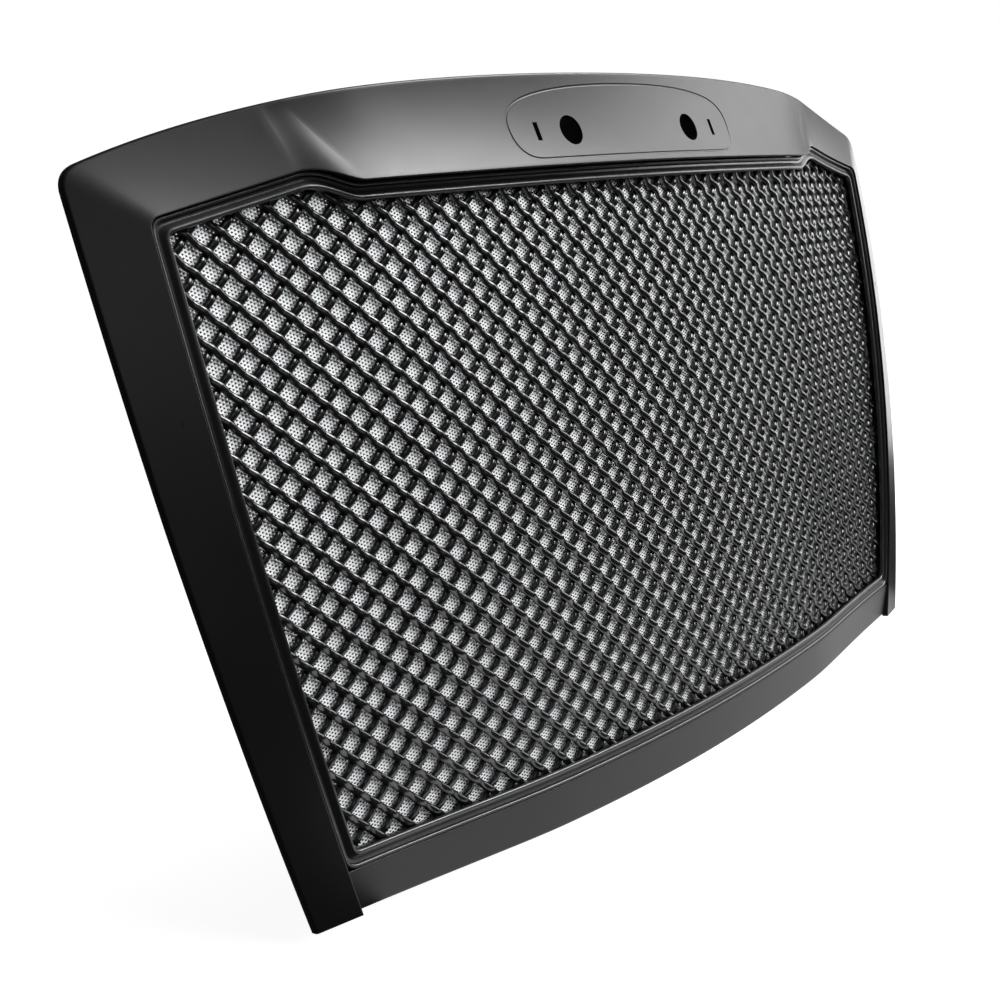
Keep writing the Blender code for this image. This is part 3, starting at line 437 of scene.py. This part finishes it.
DEEP_BLACK, SOFT_BLACK = (0.0016, 0.0016, 0.0017), (0.0024, 0.0024, 0.0026)
SURROUND_BLACK = moulded("moulded_black", DEEP_BLACK, SOFT_BLACK, 0.375, 0.395, 1500.0, 0.05)
BEZEL_BLACK = moulded("bezel_black", DEEP_BLACK, SOFT_BLACK, 0.33, 0.38, 1500.0, 0.03, specular=1.0)
LATTICE_BLACK = moulded("lattice_black", (0.0016, 0.0016, 0.0018), (0.0026, 0.0026, 0.0028), 0.20, 0.27,
                        900.0, 0.03, specular=0.9)
NYLON = moulded("nylon_black", (0.018, 0.018, 0.018), (0.026, 0.026, 0.026), 0.48, 0.58, 1200.0, 0.15)
POWDER = moulded("bracket_black", (0.022, 0.022, 0.024), (0.030, 0.030, 0.032), 0.42, 0.55, 700.0, 0.35)
FRAME_PAINT = moulded("frame_steel", (0.026, 0.026, 0.028), (0.036, 0.036, 0.038), 0.36, 0.46, 900.0, 0.2)


def metal(name, dark, light, rough_low, rough_high, stretch, scale, metallic=1.0):
    """Bare or plated metal, with a noise that is stretched along the way it was worked."""
    material, tree, shader = new_material(name, light, rough_low, metallic=metallic)
    vary_colour(tree, shader, ramp(tree, noise(tree, 60.0, 4.0), 0.0, 1.0), dark, light)
    roughness = ramp(tree, noise(tree, scale, 3.0, stretch), rough_low, rough_high)
    tree.links.new(roughness, shader.inputs["Roughness"])
    add_bump(tree, shader, noise(tree, scale, 2.0, stretch), 0.1, 0.0002)
    return material


SCREEN_METAL = metal("screen_wire", (0.70, 0.72, 0.73), (0.84, 0.86, 0.87), 0.42, 0.54,
                     (1.0, 1.0, 1.0), 700.0, metallic=0.15)
# Painted shade: a near-black colour for the walls of the screen's holes, standing in for the shade inside
# them.
SCREEN_HOLE_SHADE = metal("screen_hole_shade", (0.012, 0.012, 0.013), (0.022, 0.022, 0.024), 0.55, 0.70,
                    (1.0, 1.0, 1.0), 700.0, metallic=0.3)
ZINC = metal("zinc_plated", (0.50, 0.51, 0.53), (0.66, 0.67, 0.69), 0.24, 0.36, (1.0, 1.0, 4.0), 500.0)


# ---------------------------------------------------------------- surround
def arc(centre, radius, start, end, count):
    return [(centre[0] + radius * math.cos(math.radians(start + (end - start) * i / count)),
             centre[1] + radius * math.sin(math.radians(start + (end - start) * i / count)))
            for i in range(count + 1)]


def surround_stations():
    """Matching points on the inner and the outer edge, up the right leg and over to the middle."""
    x_in, z_in = meet(lambda x: float(opening_top(x)), lambda z: float(leg_inner(z)), 0.5)
    x_out, z_out = meet(lambda x: float(header_top(x)), lambda z: float(leg_outer(z)), 0.57)
    side, corner, shoulder, notch, wing, seat = 60, 12, 20, 40, 34, 60
    c, r = OPENING_CORNER, OUTER_CORNER
    inner = [(float(leg_inner(z)), z) for z in spread(LEG_BOTTOM, z_in - c, side)]
    outer = [(float(leg_outer(z)), z) for z in spread(LEG_BOTTOM, z_out - r, side)]
    inner += rounded_corner((float(leg_inner(z_in - c)), z_in - c), (x_in, z_in),
                            (x_in - c, float(opening_top(x_in - c))), corner)
    outer += rounded_corner((float(leg_outer(z_out - r)), z_out - r), (x_out, z_out),
                            (x_out - r, float(header_top(x_out - r))), corner)
    seat_inner, seat_outer = 0.184, 0.184 * CREASE_TOP / STEP_START
    past = CREASE_TOP + CREASE_TOP_WIDTH
    inner_x = spread(0.0, seat_inner, seat) + spread(seat_inner, STEP_START, wing)
    inner_x += spread(STEP_START, STEP_END, notch) + spread(STEP_END, x_in - c, shoulder)
    outer_x = spread(0.0, seat_outer, seat) + spread(seat_outer, CREASE_TOP, wing)
    outer_x += spread(CREASE_TOP, past, notch) + spread(past, x_out - r, shoulder)
    inner += [(x, float(opening_top(x))) for x in reversed(inner_x)]
    outer += [(x, float(header_top(x))) for x in reversed(outer_x)]
    return np.array(inner), np.array(outer)


def section_profile(width):
    """The closed section: the distance from the inner edge, and the depth behind the front."""
    ri, ro, cut = INNER_ROUND, OUTER_ROUND, EDGE_BREAK
    front = [(cut, INNER_LIP - cut), (0.0, INNER_LIP - 2 * cut)]
    front += arc((ri, ri), ri, 180, 270, 6)
    front += [(ri + (width - ri - ro) * i / FACE_COUNT, 0.0) for i in range(1, FACE_COUNT)]
    front += arc((width - ro, ro), ro, 270, 360, 8)
    front += [(width, OUTER_LIP - 2 * cut), (width - cut, OUTER_LIP - cut)]
    back = [(width - 2 * cut, OUTER_LIP), (width - SHELL + cut, OUTER_LIP),
            (width - SHELL, OUTER_LIP - cut), (width - SHELL, SHELL)]
    back += [(width - SHELL + (2 * SHELL - width) * i / 10, SHELL) for i in range(1, 10)]
    back += [(SHELL, SHELL), (SHELL, INNER_LIP - cut), (SHELL - cut, INNER_LIP), (2 * cut, INNER_LIP)]
    return np.array(front + back)


def seat_outline():
    half, top, bottom = SEAT_HALF, SEAT_TOP, SEAT_BOTTOM
    middle = bottom + 0.45 * (top - bottom)
    shoulder = (SEAT_SHOULDER_X, top - SEAT_SHOULDER_DROP)
    foot = half - SEAT_CORNER
    right = rounded_corner((0.0, top), (0.62 * half, top), shoulder, 24)
    right += rounded_corner(shoulder, (half, top - SEAT_SIDE_DROP), (half, middle), 18)[1:]
    right += rounded_corner((half, middle), (half, bottom), (foot, bottom), 18)[1:]
    right += [(x, bottom) for x in spread(foot, 0.0, 24)][1:] + [(0.0, bottom)]
    return np.array(right + [(-x, z) for x, z in reversed(right[1:-1])])


def surround_front_y(x, z):
    """The header's front, as the surround's section lays it."""
    low, high = opening_top(x), header_top(x)
    t = (z - low) / (high - low)
    low_y, high_y = face_y(x, low) - face_proud(x), outer_edge_y(x, high)
    return low_y + (high_y - low_y) * t + HEADER_SAG * 4 * t * (1 - t)


def leg_front_y(x, z):
    inner_x, outer_x = leg_inner(z), leg_outer(z)
    t = (abs(x) - inner_x) / (outer_x - inner_x)
    inner_y = face_y(inner_x, z) - LEG_PROUD
    return inner_y + (outer_edge_y(outer_x, z) - inner_y) * t


def bracket_pads():
    """Each pad's middle (x, z), its half sizes and how far back it reaches."""
    pads = []
    for sign in (-1.0, 1.0):
        pads.append(((sign * 0.30, 0.292), (0.020, 0.013), 0.050))
        for z, rear in ((0.10, 0.0745), (-0.225, 0.064)):
            pads.append(((sign * (float(leg_inner(z)) + 0.0274), z), (0.0075, 0.014), rear))
    return pads


def lay_section(inner, outer, profile, sag):
    """Places a closed section between matching points of the inner and the outer edge."""
    across = outer - inner
    width = np.linalg.norm(across[[0, 2]])
    out = np.array((across[0], 0.0, across[2])) / width
    t = profile[:, 0] / width
    points = inner + out * profile[:, :1]
    points[:, 1] += across[1] * t + profile[:, 1] + sag * 4 * np.clip(t * (1 - t), 0.0, 1.0)
    return points


def front_slopes(x, z, step):
    """How fast the header's front recedes along x and along z."""
    slope_x = (surround_front_y(x + step, z) - surround_front_y(x - step, z)) / (2 * step)
    slope_z = (surround_front_y(x, z + step) - surround_front_y(x, z - step)) / (2 * step)
    return slope_x, slope_z


def seat_groove():
    """A rod laid along the seat's outline, which cuts a shallow groove in the header's front."""
    outline = seat_outline()
    along = np.roll(outline, -1, axis=0) - np.roll(outline, 1, axis=0)
    along /= np.linalg.norm(along, axis=1, keepdims=True)
    angles = np.arange(16) / 16 * 2 * math.pi
    rods = []
    for (x, z), (run_x, run_z) in zip(outline, along):
        slope_x, slope_z = front_slopes(x, z, 0.002)
        out = np.array((slope_x, -1.0, slope_z)) / math.sqrt(1 + slope_x ** 2 + slope_z ** 2)
        across = np.array((-run_z, 0.0, run_x))
        across -= out * (across @ out)
        across /= np.linalg.norm(across)
        middle = np.array((x, surround_front_y(x, z), z)) + out * GROOVE_RISE
        rods.append([middle + GROOVE_RADIUS * (math.cos(a) * across + math.sin(a) * out) for a in angles])
    rods = np.array(rods)
    quads = strip_faces(len(rods), len(angles), closed_rows=True, closed_columns=True)
    groove = new_piece("seat_groove", rods.reshape(-1, 3) + DATUM, quads, SURROUND_BLACK, body=None)
    face_outwards(groove)
    return groove


def lean_front(sleeve, x, z):
    """Turns the front end of a sleeve parallel to the header, inside its shell."""
    slope_x, slope_z = front_slopes(x, z, 0.004)
    for vertex in sleeve.data.vertices:
        if vertex.co.y < 0.0:
            vertex.co.y = (surround_front_y(x, z) + 0.6 * SHELL + slope_x * (vertex.co.x - x)
                           + slope_z * (vertex.co.z - z))


def badge_sleeves(sign):
    """The collars behind a badge hole and its key slot."""
    x, z = sign * HOLE_X, HOLE_Z
    rear = float(surround_front_y(x, z)) + 0.6 * SHELL + HOLE_SLEEVE_DEPTH
    matrix = Matrix.Translation((x, 0, z)) @ Matrix.Rotation(-math.pi / 2, 4, "X")
    round_sleeve = post("hole_sleeve", HOLE_RADIUS + SLEEVE_WALL, -rear, rear, matrix, 72)
    lean_front(round_sleeve, x, z)
    for vertex in round_sleeve.data.vertices:
        vertex.co.z = max(vertex.co.z, SLEEVE_FLAT_Z)
    x = sign * SLOT_X
    half_x, half_z = SLOT_HALF_WIDTH + SLEEVE_WALL, SLOT_HALF_HEIGHT + SLEEVE_WALL
    rear = float(surround_front_y(x, z)) + 0.6 * SHELL + SLOT_SLEEVE_DEPTH
    low, high = (x - half_x, -rear - 0.1, z - half_z), (x + half_x, rear, z + half_z)
    slot_sleeve = block("slot_sleeve", low, high)
    lean_front(slot_sleeve, x, z)
    for sleeve in (round_sleeve, slot_sleeve):
        for vertex in sleeve.data.vertices:
            vertex.co += Vector(DATUM)
    return [round_sleeve, slot_sleeve]


def bracket_pad(x, z, half_x, half_z, rear):
    """A pad that stands on the back of the shell, with rounded long edges."""
    front = surround_front_y if abs(x) < STEP_START else leg_front_y
    pad = block("pad", (x - half_x, 0.0, z - half_z), (x + half_x, rear, z + half_z))
    bm = bmesh.new()
    bm.from_mesh(pad.data)
    long_edges = [edge for edge in bm.edges if abs(edge.verts[0].co.y - edge.verts[1].co.y) > 0.001]
    bmesh.ops.bevel(bm, geom=long_edges, offset=PAD_ROUND, segments=3, affect="EDGES")
    bm.to_mesh(pad.data)
    bm.free()
    for vertex in pad.data.vertices:
        if vertex.co.y < rear / 2:
            vertex.co.y = float(front(vertex.co.x, vertex.co.z)) + 0.6 * SHELL
        vertex.co += Vector(DATUM)
    return pad


def surround_rows():
    """The shell's sections, from the foot of one leg to the foot of the other."""
    inner, outer = surround_stations()
    rows = []
    for a, b in zip(inner, outer):
        start = np.array((a[0], float(face_y(a[0], a[1])) - float(face_proud(a[0])), a[1]))
        end = np.array((b[0], float(outer_edge_y(b[0], b[1])), b[1]))
        width = np.linalg.norm((end - start)[[0, 2]])
        in_header = 1.0 - min(max((a[0] - STEP_START) / (STEP_END - STEP_START), 0.0), 1.0)
        rows.append(lay_section(start, end, section_profile(width), HEADER_SAG * in_header))
    rows = np.array(rows)
    mirrored = rows[:-1][::-1].copy()
    mirrored[..., 0] *= -1
    return np.concatenate([rows, mirrored])


def build_surround():
    rows = surround_rows()
    quads = strip_faces(len(rows), rows.shape[1], closed_columns=True)
    piece = new_piece("surround_shell", rows.reshape(-1, 3) + DATUM, quads, SURROUND_BLACK)
    cap(piece)
    face_outwards(piece)
    additions, cuts = [], []
    for (x, z), (half_x, half_z), rear in bracket_pads():
        additions.append(bracket_pad(x, z, half_x, half_z, rear))
        along = (PAD_BOLT_OFFSET, 0.0) if half_x > half_z else (0.0, PAD_BOLT_OFFSET)
        for sign in (-1, 1):
            place = Vector((x + sign * along[0], rear, z + sign * along[1])) + Vector(DATUM)
            matrix = Matrix.Translation(place) @ Matrix.Rotation(-math.pi / 2, 4, "X")
            cuts.append(post("bolt_hole", PAD_HOLE_RADIUS, -PAD_HOLE_DEPTH, 0.01, matrix, 20))
    for side, at in FRAME_SCREWS:
        if side == "bottom":
            continue
        front = BOSS_FRONT if side != "top" else BOSS_FRONT_HEADER
        if side == "top" and abs(at) > STEP_END:
            front = BOSS_FRONT_WING
        boss, hole = screw_boss(side, at, front)
        additions.append(boss)
        cuts.append(hole)
    for sign in (-1, 1):
        additions += badge_sleeves(sign)
    combine(piece, additions, "UNION")
    turn = Matrix.Rotation(math.pi / 2, 4, "X")
    cuts.append(seat_groove())
    for sign in (-1, 1):
        middle = Vector((sign * HOLE_X, 0.0, HOLE_Z)) + Vector(DATUM)
        place = Matrix.Translation(middle) @ turn
        cuts.append(post("stud_hole", HOLE_RADIUS, -CUT_THROUGH, CUT_THROUGH, place, 64))
        slot = Vector((sign * SLOT_X, 0.0, HOLE_Z)) + Vector(DATUM)
        half = Vector((SLOT_HALF_WIDTH, CUT_THROUGH, SLOT_HALF_HEIGHT))
        cuts.append(block("slot", slot - half, slot + half))
    combine(piece, cuts, "DIFFERENCE")
    shade(piece, 28)
    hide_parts("outer_surround")


# ---------------------------------------------------------------- lower rail
def build_rail():
    end = meet(lambda x: float(rail_top(x)), lambda z: float(leg_inner(z)), 0.45)[0] - FIT_GAP
    rows = []
    for x in spread(end, -end, 240) + [-end]:
        top_z, low_z = float(rail_top(x)), float(rail_bottom(x))
        lean = float(leg_inner(low_z) - leg_inner(top_z)) * x / end
        top = np.array((x, float(face_y(x, top_z)) - RAIL_PROUD, top_z))
        low_x = x + lean
        low = np.array((low_x, float(face_y(low_x, low_z)) - RAIL_PROUD + RAIL_TILT, low_z))
        height = top_z - low_z
        ri, ro, shell = RAIL_INNER_ROUND, RAIL_OUTER_ROUND, RAIL_SHELL
        front = [(0.0, INNER_LIP)] + arc((ri, ri), ri, 180, 270, 6)
        front += [(ri + (height - ri - ro) * i / 16, 0.0) for i in range(1, 16)]
        front += arc((height - ro, ro), ro, 270, 360, 8) + [(height, RAIL_LIP)]
        back = [(height - shell, RAIL_LIP), (height - shell, shell), (shell, shell), (shell, INNER_LIP)]
        profile = np.array(front + back)
        t = profile[:, :1] / height
        points = top + (low - top) * t
        points[:, 1] += profile[:, 1]
        rows.append(points)
    rows = np.array(rows)
    quads = strip_faces(len(rows), rows.shape[1], closed_columns=True)
    piece = new_piece("rail_shell", rows.reshape(-1, 3) + DATUM, quads, SURROUND_BLACK)
    cap(piece)
    face_outwards(piece)
    additions, cuts = [], []
    for side, at in FRAME_SCREWS:
        if side == "bottom":
            boss, hole = screw_boss(side, at, BOSS_FRONT)
            additions.append(boss)
            cuts.append(hole)
    combine(piece, additions, "UNION")
    combine(piece, cuts, "DIFFERENCE")
    shade(piece, 28)
    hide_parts("lower_rail")


# ---------------------------------------------------------------- bezel
def chaikin(points, rounds):
    """Rounds the corners of a closed section."""
    points = np.array(points)
    for _ in range(rounds):
        following = np.roll(points, -1, axis=0)
        near, far = 0.75 * points + 0.25 * following, 0.25 * points + 0.75 * following
        points = np.stack([near, far], 1).reshape(-1, 3)
    return points


def ring(name, section, material, fine):
    """A closed section of (inward distance, depth, corner size), led around the opening."""
    loops = []
    for w, d, corner in section:
        loop = opening_loop(w, corner, fine)
        loops.append(np.stack([loop[:, 0], face_y(loop[:, 0], loop[:, 1]) + d, loop[:, 1]], 1))
    loops = np.array(loops)
    quads = strip_faces(loops.shape[0], loops.shape[1], closed_rows=True, closed_columns=True)
    piece = new_piece(name, loops.reshape(-1, 3) + DATUM, quads, material)
    face_outwards(piece)
    return piece


def build_bezel():
    section = [(0.0006, -0.0012, 0.010), (0.0006, -0.0050, 0.010), (0.0010, -0.0064, 0.010),
               (0.0020, -0.0068, 0.010), (0.0032, -0.0062, 0.010), (0.0038, -0.0046, 0.010),
               (0.0042, -0.0028, 0.009), (0.0050, -0.0026, 0.009), (0.0068, -0.0026, 0.008),
               (0.0080, -0.0034, 0.008), (0.0100, -0.0052, 0.008), (0.0114, -0.0062, 0.007),
               (0.0128, -0.0064, 0.006), (0.0140, -0.0056, 0.006), (0.0146, -0.0040, 0.006),
               (0.0146, -0.0012, 0.006)]
    piece = ring("bezel_ring", chaikin(section, 2), BEZEL_BLACK, 4)
    shade(piece, 50)
    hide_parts("inner_bezel")


# ---------------------------------------------------------------- lattice
PITCH = math.hypot(HALF_PITCH_X, HALF_PITCH_Z)
BAR_HALF_WIDTH = 0.0034
BAR_STATIONS, BAR_SIDES = 8, 10
BAR_COUNT, BAR_REACH, BAR_SHORTEST = 80, 45, 3
OVER = dict(middle=0.0037, swing=0.0013, half_depth=0.0023)
UNDER = dict(middle=0.0053, swing=-0.0013, half_depth=0.0022)


def bar_family(name, rising, style, pieces):
    """Wavy bars in one diagonal direction, ending behind the bezel."""
    window = opening_loop(0.008, 0.006, 2)
    angles = np.arange(BAR_SIDES) / BAR_SIDES * 2 * math.pi
    way = np.array((HALF_PITCH_X, HALF_PITCH_Z if rising else -HALF_PITCH_Z)) / PITCH
    side = np.array((-way[1], way[0]))
    bars = []
    for index in range(-BAR_COUNT, BAR_COUNT + 1):
        along = np.arange(-BAR_REACH * BAR_STATIONS, BAR_REACH * BAR_STATIONS + 1) / BAR_STATIONS
        m = along + index
        n = (along - index + 1) if rising else (-along + index + 1)
        x = m * HALF_PITCH_X
        z = n * HALF_PITCH_Z
        keep = inside(np.stack([x, z], 1), window)
        if keep.sum() < BAR_SHORTEST:
            continue
        edges = np.flatnonzero(np.diff(np.concatenate([[0], keep.astype(int), [0]])))
        for start, stop in zip(edges[::2], edges[1::2]):
            if stop - start >= BAR_SHORTEST:
                bars.append((x[start:stop], z[start:stop], along[start:stop]))
    bars.sort(key=lambda bar: bar[0].mean())
    share = math.ceil(len(bars) / pieces)
    for part in range(pieces):
        verts, faces, offset = [], [], 0
        for x, z, along in bars[part * share:(part + 1) * share]:
            depth = style["middle"] - style["swing"] * np.cos(2 * math.pi * along)
            ring_w = BAR_HALF_WIDTH * np.cos(angles)
            ring_d = -style["half_depth"] * np.sin(angles)
            px = x[:, None] + ring_w * side[0]
            pz = z[:, None] + ring_w * side[1]
            back = face_normal(px, pz)
            d = depth[:, None] + ring_d
            base = np.stack([px, face_y(px, pz), pz], -1)
            points = base + back * d[..., None]
            verts.append(points.reshape(-1, 3))
            faces.append(strip_faces(len(x), BAR_SIDES, closed_columns=True) + offset)
            offset += len(x) * BAR_SIDES
        piece = new_piece("%s_%d" % (name, part + 1), np.concatenate(verts) + DATUM,
                          np.concatenate(faces), LATTICE_BLACK)
        cap(piece)
        face_outwards(piece)
        piece.data.shade_smooth()
        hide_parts("lattice_insert")


def build_flange():
    """The lattice's flat flange behind the surround, with its screw holes."""
    section = [(RIM_OUTER, RIM_FRONT, 0.016), (RIM_OUTER, RIM_BACK, 0.016),
               (RIM_INNER, RIM_BACK, 0.006), (RIM_INNER, RIM_FRONT, 0.006)]
    piece = ring("lattice_flange", section, LATTICE_BLACK, 2)
    cuts = []
    places = [(side, at, FRAME_SCREW_W) for side, at in FRAME_SCREWS]
    places += [(side, at, RETAINER_W) for side, at in RETAINERS]
    for side, at, w in places:
        (x, z), inward = edge_place(side, at, w)
        cuts.append(post("rim_hole", SCREW_HOLE, 0.0, 0.02, back_frame(x, z, inward), 24))
    combine(piece, cuts, "DIFFERENCE")
    shade(piece, 40)
    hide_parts("lattice_insert")


# ---------------------------------------------------------------- bug screen
MESH_HALF_X, MESH_HALF_Z = 0.00275, 0.00156
MESH_HOLE, MESH_SLOPE = 0.57, 0.00030
MESH_FRONT, MESH_BACK, MESH_SLANT = 0.0095, 0.0115, 0.0014
MESH_REACH_X, MESH_REACH_Z = 0.53, 0.345


def build_screen(pieces=9):
    """Expanded metal: a skewed grid of cells, each with a diamond hole between slanting strands."""
    window = opening_loop(0.0040, 0.008, 2)
    half_cell = np.array((MESH_HALF_X, MESH_HALF_Z))
    columns = int(MESH_REACH_X / MESH_HALF_X)
    rows = int(MESH_REACH_Z / MESH_HALF_Z)
    i, j = np.meshgrid(np.arange(-columns, columns + 1), np.arange(-rows, rows + 1), indexing="ij")
    cells = np.stack([i.ravel(), j.ravel()], 1)
    cells = cells[(cells.sum(1) % 2) == 0]
    centres = cells * half_cell
    keep = inside(centres, window)
    cells, centres = cells[keep], centres[keep]
    order = np.argsort(centres[:, 0], kind="stable")
    cells, centres = cells[order], centres[order]
    corners = np.array(((1, 0), (0, 1), (-1, 0), (0, -1)))
    share = math.ceil(len(cells) / pieces)
    for part in range(pieces):
        own_cells = cells[part * share:(part + 1) * share]
        keys = (own_cells[:, None, :] + corners).reshape(-1, 2)
        unique, where = np.unique(keys, axis=0, return_inverse=True)
        where = where.reshape(-1, 4)
        flat = unique * half_cell
        holes = ((own_cells[:, None, :] + corners * MESH_HOLE) * half_cell).reshape(-1, 2)
        count = len(flat)
        xz = np.concatenate([flat, flat, holes, holes])
        d = np.repeat((MESH_FRONT, MESH_BACK, MESH_FRONT + MESH_SLOPE, MESH_BACK - MESH_SLOPE),
                      (count, count, len(holes), len(holes)))
        slant = MESH_SLANT * (d - MESH_FRONT) / (MESH_BACK - MESH_FRONT)
        verts = np.stack([xz[:, 0] - slant, face_y(xz[:, 0], xz[:, 1]) + d, xz[:, 1]], 1)
        hole = 2 * count + np.arange(len(holes)).reshape(-1, 4)
        far = hole + len(holes)
        faces, shaded_walls = [], []
        for side in range(4):
            following = (side + 1) % 4
            a, b = where[:, side], where[:, following]
            faces.append(np.stack([a, b, hole[:, following], hole[:, side]], 1))
            faces.append(np.stack([hole[:, side], hole[:, following], far[:, following], far[:, side]], 1))
            shaded_walls.append(len(faces) - 1)
            faces.append(np.stack([b + count, a + count, far[:, side], far[:, following]], 1))
        edges = np.concatenate([np.stack([where[:, side], where[:, (side + 1) % 4]], 1) for side in range(4)])
        ordered = np.sort(edges, 1)
        _, first, times = np.unique(ordered, axis=0, return_index=True, return_counts=True)
        border = edges[first[times == 1]]
        faces.append(np.stack([border[:, 1], border[:, 0], border[:, 0] + count, border[:, 1] + count], 1))
        piece = new_piece("screen_mesh_%d" % (part + 1), verts + DATUM, np.concatenate(faces), SCREEN_METAL)
        # The walls of the holes take the second material, a painted shade that makes the holes read dark.
        piece.data.materials.append(SCREEN_HOLE_SHADE)
        slots = [np.full(len(quads), int(group in shaded_walls)) for group, quads in enumerate(faces)]
        piece.data.polygons.foreach_set("material_index", np.concatenate(slots).astype(np.int32))
        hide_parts("bug_screen")


build_surround()
build_rail()
build_bezel()
bar_family("lattice_falling", False, OVER, 2)
bar_family("lattice_rising", True, UNDER, 2)
build_flange()
build_screen()

FINISH = {"screen_retainer": NYLON, "retainer_screw": ZINC, "frame_screw": ZINC, "bolt_": ZINC,
          "bracket": POWDER, "screen_frame": FRAME_PAINT}
for name, node in frame["nodes"].items():
    for start, material in FINISH.items():
        if name.startswith(start):
            for slot in node.material_slots:
                slot.material = material

# ---------------------------------------------------------------- floor, light and camera
FLOOR_Z = cad_box[0][2]
FLOOR_NEAR, FLOOR_FAR, FLOOR_SWEEP, FLOOR_TOP, FLOOR_HALF = -4.0, 3.2, 1.6, 5.0, 6.0
floor_material, _, floor_shader = new_material("studio_floor", (0.30, 0.30, 0.30), 0.9)
floor_shader.inputs["Emission Color"].default_value = (1.0, 1.0, 1.0, 1.0)
floor_shader.inputs["Emission Strength"].default_value = 0.92
profile = [(FLOOR_NEAR, FLOOR_Z)]
for angle in range(0, 91, 6):
    turn = math.radians(angle)
    profile.append((FLOOR_FAR + FLOOR_SWEEP * math.sin(turn), FLOOR_Z + FLOOR_SWEEP * (1 - math.cos(turn))))
profile.append((FLOOR_FAR + FLOOR_SWEEP, FLOOR_TOP))
edges = (-FLOOR_HALF, FLOOR_HALF)
floor_points = np.array([(across, along, up) for across in edges for along, up in profile])
spin = np.array(Matrix.Rotation(math.radians(-45), 3, "Z"))
floor = new_piece("floor", floor_points @ spin.T, strip_faces(2, len(profile)), floor_material, body=None)
floor.visible_glossy = False
floor.visible_diffuse = False

# A white card lies in front of the lower rail, for the rail to reflect.
card_material, _, card_shader = new_material("white_card", (0.3, 0.3, 0.3), 1.0, specular=0.0)
card_shader.inputs["Emission Color"].default_value = (1.0, 1.0, 1.0, 1.0)
card_shader.inputs["Emission Strength"].default_value = 0.7
card_x, card_y, card_z = (-0.42, 0.60), (-0.24, 0.02), FLOOR_Z + 0.0005
card_corners = [(x, y, card_z) for x in card_x for y in card_y]
card = new_piece("white_card", card_corners, strip_faces(2, 2), card_material, body=None)
card.visible_camera = False
card.visible_diffuse = False
card.visible_shadow = False


def softbox(name, azimuth, elevation, width, height, radiance, distance=3.0, glossy=True):
    """A lamp that faces the object from a direction given in degrees."""
    light = bpy.data.lights.new(name, "AREA")
    light.shape = "RECTANGLE"
    light.size = width
    light.size_y = height
    light.energy = radiance * math.pi * width * height
    lamp = bpy.data.objects.new(name, light)
    bpy.context.scene.collection.objects.link(lamp)
    turn, rise = math.radians(azimuth), math.radians(elevation)
    towards = Vector((math.cos(rise) * math.cos(turn), math.cos(rise) * math.sin(turn), math.sin(rise)))
    lamp.location = towards * distance
    lamp.rotation_euler = (-towards).to_track_quat("-Z", "Y").to_euler()
    lamp.visible_glossy = glossy
    lamp.visible_camera = False


softbox("key_box", -43, 48, 2.1, 1.2, 15.5)
softbox("side_box", -22, 19, 1.4, 1.5, 4.8)
softbox("right_fill", 9, 3, 0.9, 0.75, 3.2, distance=1.6)
softbox("left_fill", -112, 14, 1.6, 1.2, 0.6)
softbox("front_fill", -80, 22, 2.0, 2.0, 11.0, glossy=False)

world = bpy.data.worlds.new("studio")
bpy.context.scene.world = world
world.use_nodes = True
world.node_tree.nodes["Background"].inputs["Color"].default_value = (1.0, 1.0, 1.0, 1.0)
world.node_tree.nodes["Background"].inputs["Strength"].default_value = 0.04

# The camera's lens, place and directions come from the fit to the photo's lattice crossings.
camera_data = bpy.data.cameras.new("camera")
camera_data.lens = 48.49
camera_data.sensor_width = 36.0
camera = bpy.data.objects.new("camera", camera_data)
bpy.context.scene.collection.objects.link(camera)
right = Vector((0.6771, -0.7187, -0.1581)).normalized()
ahead = Vector((0.7054, 0.6951, -0.1389)).normalized()
up = right.cross(ahead).normalized()
right = ahead.cross(up).normalized()
camera.matrix_world = Matrix((right, up, -ahead)).transposed().to_4x4()
camera.matrix_world.translation = Vector((-1.08044, -0.80300, 0.12543)) + Vector(DATUM)
bpy.context.scene.camera = camera
bpy.context.scene.view_settings.view_transform = "Standard"
